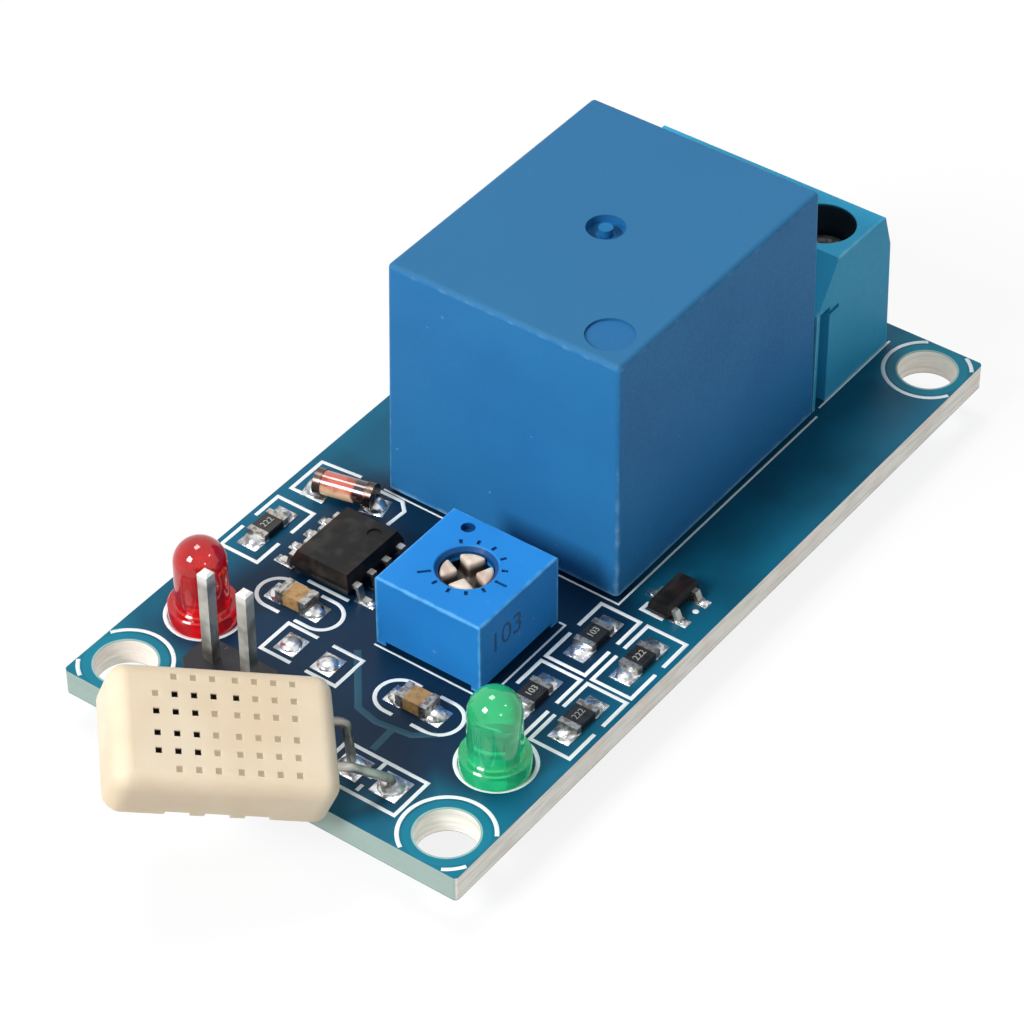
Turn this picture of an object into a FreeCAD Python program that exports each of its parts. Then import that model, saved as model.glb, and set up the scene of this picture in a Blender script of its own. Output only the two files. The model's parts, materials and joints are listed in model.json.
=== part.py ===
# Humidity switch relay module: a 50 mm board that carries a sugar-cube relay, a three-way screw
# terminal block, a single-turn trimmer, two indicator lamps, a two-pin header, a cased humidity
# sensor on bent leads, and the small chips of the switching circuit.
#
# Frame: +X runs along the board towards the terminal block, +Y across it, +Z up. The origin is the
# centre of the four mounting holes, on the underside of the board. Units are millimetres and degrees.

import FreeCAD, Part
import math
import os
import re
import Sketcher
from FreeCAD import Placement, Rotation, Vector

PARTS_FOLDER = "parts"

SIZES = {
    "Board": [
        ("board_length", 50.0),
        ("board_width", 25.7),
        ("board_thickness", 1.6),
        ("board_corner_radius", 0.25),
        ("mounting_hole_radius", 1.7),
        ("mounting_hole_inset", 2.3),
        ("drill_clearance", 0.1),
        ("lead_tail", 1.9),
        ("joint_radius", 0.95),
        ("joint_height", 1.0),
        ("joint_tip", 0.12),
        ("touch_gap", 0.02),
    ],
    "Relay": [
        ("relay_x", 5.85),
        ("relay_y", 0.15),
        ("relay_length", 19.1),
        ("relay_width", 15.4),
        ("relay_height", 15.4),
        ("relay_standoff", 0.3),
        ("relay_draft", 0.22),
        ("relay_wall", 0.8),
        ("relay_roof", 1.0),
        ("relay_edge_radius", 0.3),
        ("relay_vent_radius", 1.35),
        ("relay_vent_depth", 0.15),
        ("relay_vent_inset", 2.25),
        ("relay_gate_radius", 1.1),
        ("relay_gate_depth", 0.5),
        ("relay_gate_nib_radius", 0.4),
        ("relay_base_thickness", 2.0),
        ("relay_base_clearance", 0.05),
        ("relay_foot_side", 1.1),
        ("relay_foot_inset", 1.4),
        ("relay_common_x", -7.8),
        ("relay_coil_x", -5.8),
        ("relay_switch_x", 6.4),
        ("relay_pin_spread", 12.0),
        ("relay_pin_thickness", 0.4),
        ("relay_pin_width", 1.0),
        ("relay_coil_pin_radius", 0.35),
        ("yoke_thickness", 1.2),
        ("yoke_width", 8.0),
        ("yoke_height", 8.9),
        ("core_x", -1.6),
        ("core_radius", 1.9),
        ("pole_radius", 2.9),
        ("pole_thickness", 0.7),
        ("pole_gap", 0.45),
        ("bobbin_wall", 0.6),
        ("bobbin_flange", 0.7),
        ("bobbin_clearance", 0.05),
        ("bobbin_width", 9.0),
        ("bobbin_foot_width", 13.2),
        ("winding_radius", 4.2),
        ("armature_thickness", 0.8),
        ("armature_length", 8.2),
        ("leaf_thickness", 0.2),
        ("leaf_width", 4.0),
        ("rivet_radius", 1.1),
        ("rivet_height", 0.35),
        ("contact_gap", 0.72),
        ("contact_strip_width", 1.2),
        ("lip_clearance", 0.15),
    ],
    "Terminal block": [
        ("terminal_gap", 0.2),
        ("terminal_pitch", 5.0),
        ("terminal_depth", 7.8),
        ("terminal_height", 9.75),
        ("terminal_end_margin", 0.0),
        ("terminal_back_height", 6.8),
        ("terminal_slope_run", 1.95),
        ("terminal_front_drop", 0.15),
        ("terminal_front_run", 1.05),
        ("terminal_brow_height", 7.4),
        ("terminal_brow_run", 0.35),
        ("terminal_screw_x", 4.15),
        ("terminal_screw_hole_radius", 1.9),
        ("terminal_floor", 0.6),
        ("terminal_chamber_width", 3.9),
        ("terminal_chamber_height", 5.15),
        ("terminal_back_wall", 1.35),
        ("terminal_web", 0.55),
        ("slot_width", 1.0),
        ("slot_depth", 0.9),
        ("slot_inset", 0.3),
        ("rail_clearance", 0.1),
        ("tab_length", 0.9),
        ("tab_height", 0.3),
        ("screw_radius", 1.2),
        ("screw_head_radius", 1.8),
        ("screw_head_height", 1.3),
        ("screw_head_bevel", 0.15),
        ("screw_tip_bevel", 0.35),
        ("screw_slot_width", 0.6),
        ("screw_slot_depth", 0.7),
        ("running_gap", 0.05),
        ("clamp_width", 3.6),
        ("clamp_length", 3.9),
        ("clamp_height", 3.5),
        ("clamp_roof", 0.8),
        ("clamp_floor", 0.5),
        ("clamp_side", 0.5),
        ("strip_thickness", 0.45),
        ("strip_width", 2.2),
        ("terminal_pin_width", 1.0),
    ],
    "Trimmer": [
        ("trimmer_x", -10.25),
        ("trimmer_y", -2.52),
        ("trimmer_side_x", 6.87),
        ("trimmer_side_y", 6.81),
        ("trimmer_height", 4.3),
        ("trimmer_standoff", 0.3),
        ("trimmer_wall", 0.6),
        ("trimmer_roof", 0.8),
        ("trimmer_edge_radius", 0.15),
        ("rotor_opening_radius", 1.5),
        ("rotor_bevel", 0.25),
        ("rotor_recess", 0.25),
        ("rotor_flange_radius", 2.4),
        ("rotor_slot_width", 0.62),
        ("rotor_slot_length", 3.0),
        ("rotor_slot_depth", 1.0),
        ("rotor_lobe_bevel", 0.18),
        ("dial_mark_count", 11),
        ("dial_mark_radius", 1.85),
        ("dial_mark_length", 0.35),
        ("dial_mark_width", 0.2),
        ("dial_mark_depth", 0.12),
        ("dial_end_mark_length", 0.75),
        ("pin_mark_radius", 0.4),
        ("pin_mark_x", 2.54),
        ("pin_mark_y", 1.8),
        ("pin_mark_depth", 0.4),
        ("element_thickness", 0.8),
        ("element_lift", 0.4),
        ("wiper_radius", 2.0),
        ("wiper_thickness", 0.2),
        ("trimmer_pin_radius", 0.25),
        ("trimmer_pin_pitch", 2.54),
    ],
    "Lamps": [
        ("lamp_x", -17.5),
        ("red_lamp_y", 9.55),
        ("green_lamp_y", -9.72),
        ("lens_radius", 1.45),
        ("lens_height", 5.2),
        ("lens_flange_radius", 1.9),
        ("lens_flange_height", 1.0),
        ("lens_flat_inset", 0.15),
        ("lens_standoff", 0.1),
        ("lamp_lead_side", 0.5),
        ("lamp_lead_spread", 2.54),
        ("lamp_lead_jog", 0.35),
        ("anode_post_height", 2.6),
        ("cathode_cup_height", 2.9),
        ("cathode_cup_width", 1.1),
        ("cathode_cup_depth", 1.0),
    ],
    "Header": [
        ("header_x", -21.8),
        ("header_y", 4.0),
        ("header_pitch", 2.54),
        ("header_base_height", 2.54),
        ("header_chamfer", 0.45),
        ("header_pin_side", 0.64),
        ("header_pin_height", 8.54),
        ("header_pin_chamfer", 0.12),
    ],
    "Sensor": [
        ("sensor_x", -27.81),
        ("sensor_y", -0.94),
        ("sensor_face_height", 6.0),
        ("sensor_yaw", -42.5),
        ("sensor_pitch", 15.6),
        ("sensor_roll", 18.1),
        ("sensor_length", 11.6),
        ("sensor_width", 7.05),
        ("sensor_thickness", 3.0),
        ("sensor_wall", 0.6),
        ("sensor_edge_radius", 0.95),
        ("sensor_hole_columns", 8),
        ("sensor_hole_rows", 6),
        ("sensor_hole_side", 0.34),
        ("sensor_hole_pitch", 0.99),
        ("sensor_hole_column_gap", 0.17),
        ("sensor_hole_row_gap", 0.22),
        ("sensor_vent_width", 1.3),
        ("sensor_vent_depth", 0.27),
        ("sensor_vent_pitch", 2.05),
        ("sensor_back_thickness", 0.7),
        ("sensor_back_clearance", 0.03),
        ("sensor_element_length", 9.0),
        ("sensor_element_width", 5.0),
        ("sensor_element_thickness", 0.6),
        ("sensor_lead_radius", 0.25),
        ("sensor_lead_spread", 2.54),
        ("sensor_lead_bend", 0.5),
        ("sensor_lead_run_in", 0.75),
        ("sensor_lead_run_out", 0.75),
        ("sensor_lead_knee_height", 0.625),
        ("sensor_pad_x", -21.8),
        ("sensor_pad_y", -5.08),
    ],
    "Chips": [
        ("chip_length", 2.0),
        ("chip_width", 1.25),
        ("resistor_thickness", 0.5),
        ("capacitor_thickness", 0.85),
        ("chip_cap_length", 0.38),
        ("chip_cap_skin", 0.03),
        ("fillet_run", 0.85),
        ("diode_fillet_run", 0.6),
        ("lead_fillet_run", 0.3),
        ("spare_pad_radius", 0.62),
        ("spare_mound_height", 0.5),
        ("comparator_x", -9.7),
        ("comparator_y", 5.95),
        ("comparator_length", 4.9),
        ("comparator_width", 3.9),
        ("comparator_height", 1.45),
        ("comparator_lift", 0.15),
        ("comparator_draft", 0.25),
        ("comparator_dot_radius", 0.4),
        ("comparator_dot_inset", 1.13),
        ("comparator_dot_depth", 0.08),
        ("comparator_lead_pitch", 1.27),
        ("comparator_lead_width", 0.42),
        ("comparator_lead_span", 6.0),
        ("lead_foil", 0.2),
        ("comparator_lead_foot", 0.6),
        ("transistor_x", -2.05),
        ("transistor_y", -10.05),
        ("transistor_length", 2.9),
        ("transistor_width", 1.3),
        ("transistor_height", 0.95),
        ("transistor_lift", 0.08),
        ("transistor_draft", 0.12),
        ("transistor_lead_pitch", 0.95),
        ("transistor_lead_width", 0.42),
        ("transistor_lead_foot", 0.3),
        ("transistor_lead_span", 2.5),
        ("diode_x", -5.6),
        ("diode_y", 9.29),
        ("diode_turn", 103.0),
        ("diode_length", 3.5),
        ("diode_radius", 0.7),
        ("diode_cap_length", 0.45),
        ("diode_cap_radius", 0.75),
    ],
}

# Centres of the chips on the board, with the turn of their long axis from +X.
RESISTORS = {
    "resistor_1": (-6.8, -8.23, 0),
    "resistor_2": (-6.83, -11.2, 0),
    "resistor_3": (-12.3, -8.23, 0),
    "resistor_4": (-12.3, -11.2, 0),
    "resistor_5": (-10.1, 11.2, 0),
}
CAPACITORS = {
    "capacitor_1": (-13.8, 6.15, 90),
    "capacitor_2": (-16.35, -3.85, 90),
}
# The empty two-pad footprint beside the trimmer, which carries only solder.
SPARE_PADS = [(-16.55, 4.35), (-16.6, 1.85)]
# Gull-wing leads of the moulded chips: place along the body in pitches, and side.
COMPARATOR_LEADS = [(place, side) for place in (-1.5, -0.5, 0.5, 1.5) for side in (-1, 1)]
TRANSISTOR_LEADS = [(-1, -1), (1, -1), (0, 1)]
# Solder beside a chip climbs this far up its end, and its slope dips to this share of run and height.
SOLDER_CLIMB = 0.8
SOLDER_DIP = 0.35
# Flat sides of a cone or bump of solder.
SOLDER_SIDES = 12
# Rings of a mound of solder: shares of its height and radius, from the foot up.
MOUND_RINGS = [(0, 1), (0.6, 0.8), (1, 0.35)]

FORMULA_WORDS = {"sin", "cos", "tan", "atan", "sqrt", "min", "max"}

doc = FreeCAD.newDocument("relay_module")
sheet = doc.addObject("Spreadsheet::Sheet", "sizes")
pieces = []


def fill_sheet():
    """Write each size into the sheet as a heading, a name and a plain number with an alias."""
    row = 1
    for heading, sizes in SIZES.items():
        sheet.set("A%d" % row, heading)
        row += 1
        for name, value in sizes:
            sheet.set("A%d" % row, name)
            sheet.set("B%d" % row, str(value))
            sheet.setAlias("B%d" % row, name)
            row += 1
    doc.recompute()


def formula(text):
    """Spell a formula in size names as one that reads the sheet."""
    def cell(match):
        word = match.group(0)
        return word if word in FORMULA_WORDS else "sizes." + word
    return re.sub(r"[a-z][a-z_0-9]*", cell, str(text))


def number(text):
    """The present value of a formula in size names."""
    return float(sheet.evalExpression(formula(text)))


def bind(target, name, text):
    target.setExpression(name, formula(text))


def put(target, x="0", y="0", z="0"):
    """Place a piece by formulas."""
    bind(target, "Placement.Base.x", x)
    bind(target, "Placement.Base.y", y)
    bind(target, "Placement.Base.z", z)
    return target


def keep(target, label):
    """Name a finished sub-part; its label is also its file name."""
    target.Label = label
    pieces.append(target)
    return target


# Part Design helpers

def new_body(label, x="0", y="0", z="0"):
    return put(doc.addObject("PartDesign::Body", label + "_body"), x, y, z)


def sketch_on(body, plane, offset="0"):
    """A sketch on one of the body's origin planes: XY (+Z), XZ (normal -Y) or YZ (+X)."""
    sketch = body.newObject("Sketcher::SketchObject", body.Name + "_sketch")
    origin_plane = next(p for p in body.Origin.OriginFeatures if p.Role == plane + "_Plane")
    sketch.AttachmentSupport = [(origin_plane, "")]
    sketch.MapMode = "FlatFace"
    bind(sketch, "AttachmentOffset.Base.z", offset)
    return sketch


def pin_point(sketch, geometry, vertex, x, y):
    """Hold a vertex at formulas x and y from the sketch origin."""
    for kind, text in (("DistanceX", x), ("DistanceY", y)):
        index = sketch.addConstraint(Sketcher.Constraint(kind, -1, 1, geometry, vertex, number(text)))
        bind(sketch, "Constraints[%d]" % index, text)


def outline(sketch, points):
    """A closed outline of straight lines through points given as formulas."""
    start = [Vector(number(x), number(y), 0) for x, y in points]
    first = sketch.GeometryCount
    count = len(points)
    for i in range(count):
        sketch.addGeometry(Part.LineSegment(start[i], start[(i + 1) % count]), False)
    for i in range(count):
        sketch.addConstraint(Sketcher.Constraint("Coincident", first + i, 2, first + (i + 1) % count, 1))
    for i, (x, y) in enumerate(points):
        pin_point(sketch, first + i, 1, x, y)
    return sketch


def rectangle(sketch, x, y, length, width):
    """A rectangle centred on x, y."""
    left, right = "(%s) - (%s) / 2" % (x, length), "(%s) + (%s) / 2" % (x, length)
    low, high = "(%s) - (%s) / 2" % (y, width), "(%s) + (%s) / 2" % (y, width)
    return outline(sketch, [(left, low), (right, low), (right, high), (left, high)])


def circle(sketch, x, y, radius):
    index = sketch.addGeometry(
        Part.Circle(Vector(number(x), number(y), 0), Vector(0, 0, 1), number(radius)), False)
    pin_point(sketch, index, 3, x, y)
    ring = sketch.addConstraint(Sketcher.Constraint("Radius", index, number(radius)))
    bind(sketch, "Constraints[%d]" % ring, radius)
    return sketch


def pad(body, sketch, length, symmetric=False, reverse=False):
    feature = body.newObject("PartDesign::Pad", body.Name + "_pad")
    feature.Profile = sketch
    bind(feature, "Length", length)
    feature.Reversed = reverse
    if symmetric:
        feature.SideType = "Symmetric"
    body.Tip = feature
    return feature


def pocket(body, sketch, depth, reverse=False, symmetric=False):
    """Cut a sketch into the body, and make sure that it removed material."""
    doc.recompute()
    before = body.Shape.Volume
    feature = body.newObject("PartDesign::Pocket", body.Name + "_pocket")
    feature.Profile = sketch
    bind(feature, "Length", depth)
    feature.Reversed = reverse
    if symmetric:
        feature.SideType = "Symmetric"
    body.Tip = feature
    doc.recompute()
    if not feature.Shape.Volume < before - 1e-6:
        raise RuntimeError("a pocket removed nothing: " + feature.Name)
    return feature


def loft(body, sketches):
    feature = body.newObject("PartDesign::AdditiveLoft", body.Name + "_loft")
    feature.Profile = sketches[0]
    feature.Sections = sketches[1:]
    feature.Ruled = True
    body.Tip = feature
    return feature


def draft(body, feature, angle):
    """Lean a block's upright faces inwards from its foot."""
    doc.recompute()
    tilts = [(index, face.normalAt(0, 0).z) for index, face in enumerate(feature.Shape.Faces, start=1)]
    leaning = body.newObject("PartDesign::Draft", body.Name + "_draft")
    leaning.Base = (feature, ["Face%d" % index for index, tilt in tilts if abs(tilt) < 0.5])
    leaning.NeutralPlane = (feature, ["Face%d" % index for index, tilt in tilts if tilt < -0.5])
    leaning.Angle = 1.0
    bind(leaning, "Angle", angle)
    body.Tip = leaning
    return leaning


def revolve(body, sketch):
    """Turn a sketch on the XZ plane about the body's Z axis."""
    feature = body.newObject("PartDesign::Revolution", body.Name + "_turned")
    feature.Profile = sketch
    feature.ReferenceAxis = (sketch, ["V_Axis"])
    feature.Angle = 360.0
    body.Tip = feature
    return feature


def edges_where(feature, test):
    """Names of the feature's edges whose two ends both pass the test."""
    doc.recompute()
    names = []
    for index, edge in enumerate(feature.Shape.Edges, start=1):
        if all(test(vertex.Point) for vertex in edge.Vertexes):
            names.append("Edge%d" % index)
    return names


def fillet(body, feature, edge_names, radius):
    rounded = body.newObject("PartDesign::Fillet", body.Name + "_fillet")
    rounded.Base = (feature, edge_names)
    bind(rounded, "Radius", radius)
    body.Tip = rounded
    return rounded


def chamfer(body, feature, edge_names, size):
    cut = body.newObject("PartDesign::Chamfer", body.Name + "_chamfer")
    cut.Base = (feature, edge_names)
    bind(cut, "Size", size)
    body.Tip = cut
    return cut


# Part helpers

def box(length, width, height, x="0", y="0", z="0"):
    """A box centred on x and y, standing on z."""
    solid = doc.addObject("Part::Box", "block")
    bind(solid, "Length", length)
    bind(solid, "Width", width)
    bind(solid, "Height", height)
    return put(solid, "(%s) - (%s) / 2" % (x, length), "(%s) - (%s) / 2" % (y, width), z)


def rod(radius, height, x="0", y="0", z="0"):
    """An upright cylinder standing on z."""
    solid = doc.addObject("Part::Cylinder", "rod")
    bind(solid, "Radius", radius)
    bind(solid, "Height", height)
    return put(solid, x, y, z)


def cut(base, tool):
    result = doc.addObject("Part::Cut", "cut")
    result.Base = base
    result.Tool = tool
    return result


def fuse(*shapes):
    result = doc.addObject("Part::MultiFuse", "joined")
    result.Shapes = list(shapes)
    return result


def group(*shapes):
    """Several solids that stay separate in one node."""
    result = doc.addObject("Part::Compound", "group")
    result.Links = list(shapes)
    return result


# Places that more than one piece uses, as formulas in size names

DECK = "board_thickness"
TAIL = "(-lead_tail)"
POLES = (-1, 0, 1)

RELAY_CAVITY_LENGTH = "(relay_length - 2 * relay_wall - 2 * relay_draft)"
RELAY_CAVITY_WIDTH = "(relay_width - 2 * relay_wall - 2 * relay_draft)"
RELAY_FLOOR = "(relay_standoff + relay_base_thickness)"
YOKE_BACK = "(relay_common_x + relay_pin_thickness / 2)"
YOKE_TOP = "(%s + yoke_height)" % RELAY_FLOOR
POLE_TOP = "(%s - pole_gap)" % YOKE_TOP
BOBBIN_FLOOR = "(%s + yoke_thickness + bobbin_clearance)" % RELAY_FLOOR
BOBBIN_TOP = "(%s - pole_thickness - bobbin_clearance)" % POLE_TOP
BOBBIN_BORE = "(core_radius + bobbin_clearance)"
BOBBIN_TUBE = "(%s + bobbin_wall)" % BOBBIN_BORE
ARMATURE_FLOOR = "(%s + touch_gap)" % YOKE_TOP
LEAF_FLOOR = "(%s + armature_thickness)" % ARMATURE_FLOOR
CLOSED_RIVET_FLOOR = "(%s + leaf_thickness + rivet_height + touch_gap)" % LEAF_FLOOR
OPEN_RIVET_TOP = "(%s - rivet_height - contact_gap)" % LEAF_FLOOR

TERMINAL_BACK = "(relay_x + relay_length / 2 + terminal_gap)"
TERMINAL_HALF = "(1.5 * terminal_pitch + terminal_end_margin)"
CHAMBER_TOP = "(terminal_floor + terminal_chamber_height)"
WEB_TOP = "(%s + terminal_web)" % CHAMBER_TOP
CLAMP_FLOOR = "(terminal_floor + touch_gap)"
CLAMP_ROOF = "(%s + clamp_height - clamp_roof)" % CLAMP_FLOOR
STRIP_X = "(terminal_back_wall + running_gap + strip_thickness / 2)"

TRIMMER_TOP = "(trimmer_standoff + trimmer_height)"
ELEMENT_TOP = "(trimmer_standoff + element_lift + element_thickness)"
ROTOR_FLANGE_TOP = "(%s - trimmer_roof - running_gap)" % TRIMMER_TOP

LENS_TOP = "(lens_standoff + lens_height)"

RIGHT_ANGLE = 90
# Where the dial starts, and the turn from one mark to the next: 11 marks over 270 degrees.
DIAL_START = 135
DIAL_SWEEP = 270
# The turn of the rotor's slots as the trimmer is set in the photograph.
ROTOR_TURN = 67


def pole_y(pole):
    return "(%d * terminal_pitch)" % pole


# Through leads: x, y and section. A round lead has a radius, and a flat one a length and a width.

def through_leads():
    flat_pin = ("relay_pin_thickness", "relay_pin_width")
    near, far = "relay_y - relay_pin_spread / 2", "relay_y + relay_pin_spread / 2"
    leads = [
        ("relay_x + relay_common_x", "relay_y", flat_pin),
        ("relay_x + relay_coil_x", near, ("relay_coil_pin_radius",)),
        ("relay_x + relay_coil_x", far, ("relay_coil_pin_radius",)),
        ("relay_x + relay_switch_x", near, flat_pin),
        ("relay_x + relay_switch_x", far, flat_pin),
    ]
    for pole in POLES:
        leads.append(("%s + %s" % (TERMINAL_BACK, STRIP_X), "relay_y + " + pole_y(pole),
                      ("strip_thickness", "terminal_pin_width")))
    for x, y in TRIMMER_PINS:
        leads.append(("trimmer_x + (%s)" % x, "trimmer_y + (%s)" % y, ("trimmer_pin_radius",)))
    for side in "-+":
        for lamp_y in ("red_lamp_y", "green_lamp_y"):
            leads.append(("lamp_x", "%s %s lamp_lead_spread / 2" % (lamp_y, side), ("lamp_lead_side",) * 2))
        leads.append(("header_x", "header_y %s header_pitch / 2" % side, ("header_pin_side",) * 2))
        lead_y = "sensor_pad_y %s sensor_lead_spread / 2" % side
        leads.append(("sensor_pad_x", lead_y, ("sensor_lead_radius",)))
    return leads


def lead_reach(section):
    """The radius of the smallest circle round a lead."""
    if len(section) == 1:
        return section[0]
    return "(sqrt(%s ^ 2 + %s ^ 2) / 2)" % section


def lead_hole(sketch, x, y, section):
    """The drilled or slotted hole that a lead passes through."""
    if len(section) == 1:
        return circle(sketch, x, y, "%s + drill_clearance" % section[0])
    return rectangle(sketch, x, y, *("%s + 2 * drill_clearance" % size for size in section))


TRIMMER_PINS = [
    ("-trimmer_pin_pitch", "-trimmer_pin_pitch / 2"),
    ("0", "trimmer_pin_pitch / 2"),
    ("trimmer_pin_pitch", "-trimmer_pin_pitch / 2"),
]


# Circuit board

def circuit_board():
    body = new_body("circuit_board")
    plan = rectangle(sketch_on(body, "XY"), "0", "0", "board_length", "board_width")
    slab = pad(body, plan, "board_thickness")
    upright = edges_where(slab, lambda p: abs(abs(p.x) - number("board_length / 2")) < 1e-6)
    upright = [name for name in upright if is_upright(slab.Shape, name)]
    fillet(body, slab, upright, "board_corner_radius")
    holes = sketch_on(body, "XY")
    for x in ("-(board_length / 2 - mounting_hole_inset)", "board_length / 2 - mounting_hole_inset"):
        for y in ("-(board_width / 2 - mounting_hole_inset)", "board_width / 2 - mounting_hole_inset"):
            circle(holes, x, y, "mounting_hole_radius")
    for x, y, section in through_leads():
        lead_hole(holes, x, y, section)
    pocket(body, holes, "board_thickness", reverse=True)
    return keep(body, "circuit_board")


def is_upright(shape, edge_name):
    first, last = (vertex.Point for vertex in shape.Edges[int(edge_name[4:]) - 1].Vertexes)
    return abs(first.x - last.x) < 1e-6 and abs(first.y - last.y) < 1e-6


# Relay

def relay_box(length, width, height, x, y, z):
    return box(length, width, height, "relay_x + (%s)" % x, "relay_y + (%s)" % y, "%s + (%s)" % (DECK, z))


def relay_rod(radius, height, x, y, z):
    return rod(radius, height, "relay_x + (%s)" % x, "relay_y + (%s)" % y, "%s + (%s)" % (DECK, z))


def relay_cover():
    body = new_body("relay_cover", "relay_x", "relay_y", DECK)
    foot = rectangle(sketch_on(body, "XY", "relay_standoff"), "0", "0", "relay_length", "relay_width")
    shell = draft(body, pad(body, foot, "relay_height"), "atan(relay_draft / relay_height)")
    rounded = edges_where(shell, lambda p: True)
    low = edges_where(shell, lambda p: p.z < number("relay_standoff") + 1e-6)
    fillet(body, shell, [name for name in rounded if name not in low], "relay_edge_radius")
    cavity = rectangle(sketch_on(body, "XY", "relay_standoff"), "0", "0",
                       RELAY_CAVITY_LENGTH, RELAY_CAVITY_WIDTH)
    pocket(body, cavity, "relay_height - relay_roof", reverse=True)
    roof = "relay_standoff + relay_height"
    vent = circle(sketch_on(body, "XY", roof), "relay_vent_inset - relay_length / 2",
                  "relay_vent_inset - relay_width / 2", "relay_vent_radius")
    pocket(body, vent, "relay_vent_depth")
    gate = circle(sketch_on(body, "XY", roof), "0", "0", "relay_gate_radius")
    circle(gate, "0", "0", "relay_gate_nib_radius")
    pocket(body, gate, "relay_gate_depth")
    return keep(body, "relay_cover")


def relay_pins_and_strips():
    """The lead parts that stand through the relay's base, each from its tail up to the base's top."""
    length_in_base = "%s + %s - %s" % (DECK, RELAY_FLOOR, TAIL)
    low = "%s - %s" % (TAIL, DECK)
    half = "relay_pin_spread / 2"
    strips = {
        "common": ("relay_common_x", "0"),
        "open": ("relay_switch_x", "-" + half),
        "closed": ("relay_switch_x", half),
    }
    leads = {}
    for name, (x, y) in strips.items():
        leads[name] = relay_box("relay_pin_thickness", "relay_pin_width", length_in_base, x, y, low)
    coil_length = "%s + %s - %s" % (DECK, BOBBIN_FLOOR, TAIL)
    for number_of_pin, side in ((1, "-"), (2, "")):
        leads["coil_%d" % number_of_pin] = relay_rod(
            "relay_coil_pin_radius", coil_length, "relay_coil_x", side + half, low)
    return leads


def relay_base(leads):
    plate = relay_box("%s - 2 * relay_base_clearance" % RELAY_CAVITY_LENGTH,
                      "%s - 2 * relay_base_clearance" % RELAY_CAVITY_WIDTH,
                      "relay_base_thickness", "0", "0", "relay_standoff")
    feet = []
    for side_x in "-+":
        for side_y in "-+":
            feet.append(relay_box("relay_foot_side", "relay_foot_side", "relay_standoff",
                                  "%s(relay_length / 2 - relay_wall - relay_foot_inset)" % side_x,
                                  "%s(relay_width / 2 - relay_wall - relay_foot_inset)" % side_y, "0"))
    return keep(cut(fuse(plate, *feet), group(*leads.values())), "relay_base")


def relay_yoke():
    body = new_body("relay_yoke", "relay_x", "relay_y", DECK)
    inner = "%s + yoke_thickness" % YOKE_BACK
    toe = "core_x + pole_radius"
    floor = "%s + yoke_thickness" % RELAY_FLOOR
    side = outline(sketch_on(body, "XZ"), [
        (YOKE_BACK, RELAY_FLOOR), (toe, RELAY_FLOOR), (toe, floor),
        (inner, floor), (inner, YOKE_TOP), (YOKE_BACK, YOKE_TOP)])
    pad(body, side, "yoke_width", symmetric=True)
    seat = circle(sketch_on(body, "XY", RELAY_FLOOR), "core_x", "0", "core_radius")
    pocket(body, seat, "yoke_thickness", reverse=True)
    return keep(body, "relay_yoke")


def relay_core():
    shank = relay_rod("core_radius", "%s - %s" % (POLE_TOP, RELAY_FLOOR), "core_x", "0", RELAY_FLOOR)
    pole = relay_rod("pole_radius", "pole_thickness", "core_x", "0", "%s - pole_thickness" % POLE_TOP)
    return keep(fuse(shank, pole), "relay_core")


def relay_bobbin():
    height = "%s - %s" % (BOBBIN_TOP, BOBBIN_FLOOR)
    lower = relay_box("bobbin_width", "bobbin_foot_width", "bobbin_flange", "core_x", "0", BOBBIN_FLOOR)
    upper = relay_box("bobbin_width", "bobbin_width", "bobbin_flange", "core_x", "0",
                      "%s - bobbin_flange" % BOBBIN_TOP)
    tube = relay_rod(BOBBIN_TUBE, height, "core_x", "0", BOBBIN_FLOOR)
    bore = relay_rod(BOBBIN_BORE, height, "core_x", "0", BOBBIN_FLOOR)
    return keep(cut(fuse(lower, upper, tube), bore), "relay_bobbin")


def relay_winding():
    height = "%s - %s - 2 * bobbin_flange" % (BOBBIN_TOP, BOBBIN_FLOOR)
    floor = "%s + bobbin_flange" % BOBBIN_FLOOR
    coil = relay_rod("winding_radius", height, "core_x", "0", floor)
    bore = relay_rod(BOBBIN_TUBE, height, "core_x", "0", floor)
    return keep(cut(coil, bore), "relay_winding")


def relay_armature():
    start = "%s + touch_gap" % YOKE_BACK
    plate = relay_box("armature_length", "yoke_width", "armature_thickness",
                      "%s + armature_length / 2" % start, "0", ARMATURE_FLOOR)
    return keep(plate, "relay_armature")


def relay_moving_contact():
    start = "%s + touch_gap" % YOKE_BACK
    end = "relay_switch_x + rivet_radius"
    leaf = relay_box("%s - (%s)" % (end, start), "leaf_width", "leaf_thickness",
                     "((%s) + (%s)) / 2" % (start, end), "0", LEAF_FLOOR)
    rivet = relay_rod("rivet_radius", "leaf_thickness + 2 * rivet_height", "relay_switch_x", "0",
                      "%s - rivet_height" % LEAF_FLOOR)
    return keep(fuse(leaf, rivet), "relay_moving_contact")


def relay_common_terminal(lead):
    """The strip up the yoke's back, with a bent top over the heel of the leaf."""
    lip_floor = "(%s + leaf_thickness + lip_clearance)" % LEAF_FLOOR
    strip_height = "%s + relay_pin_thickness - %s" % (lip_floor, RELAY_FLOOR)
    strip = relay_box("relay_pin_thickness", "leaf_width", strip_height, "relay_common_x", "0", RELAY_FLOOR)
    lip = relay_box("yoke_thickness", "leaf_width", "relay_pin_thickness",
                    "relay_common_x - relay_pin_thickness / 2 + yoke_thickness / 2", "0", lip_floor)
    return keep(fuse(lead, strip, lip), "relay_common_terminal")


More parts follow.
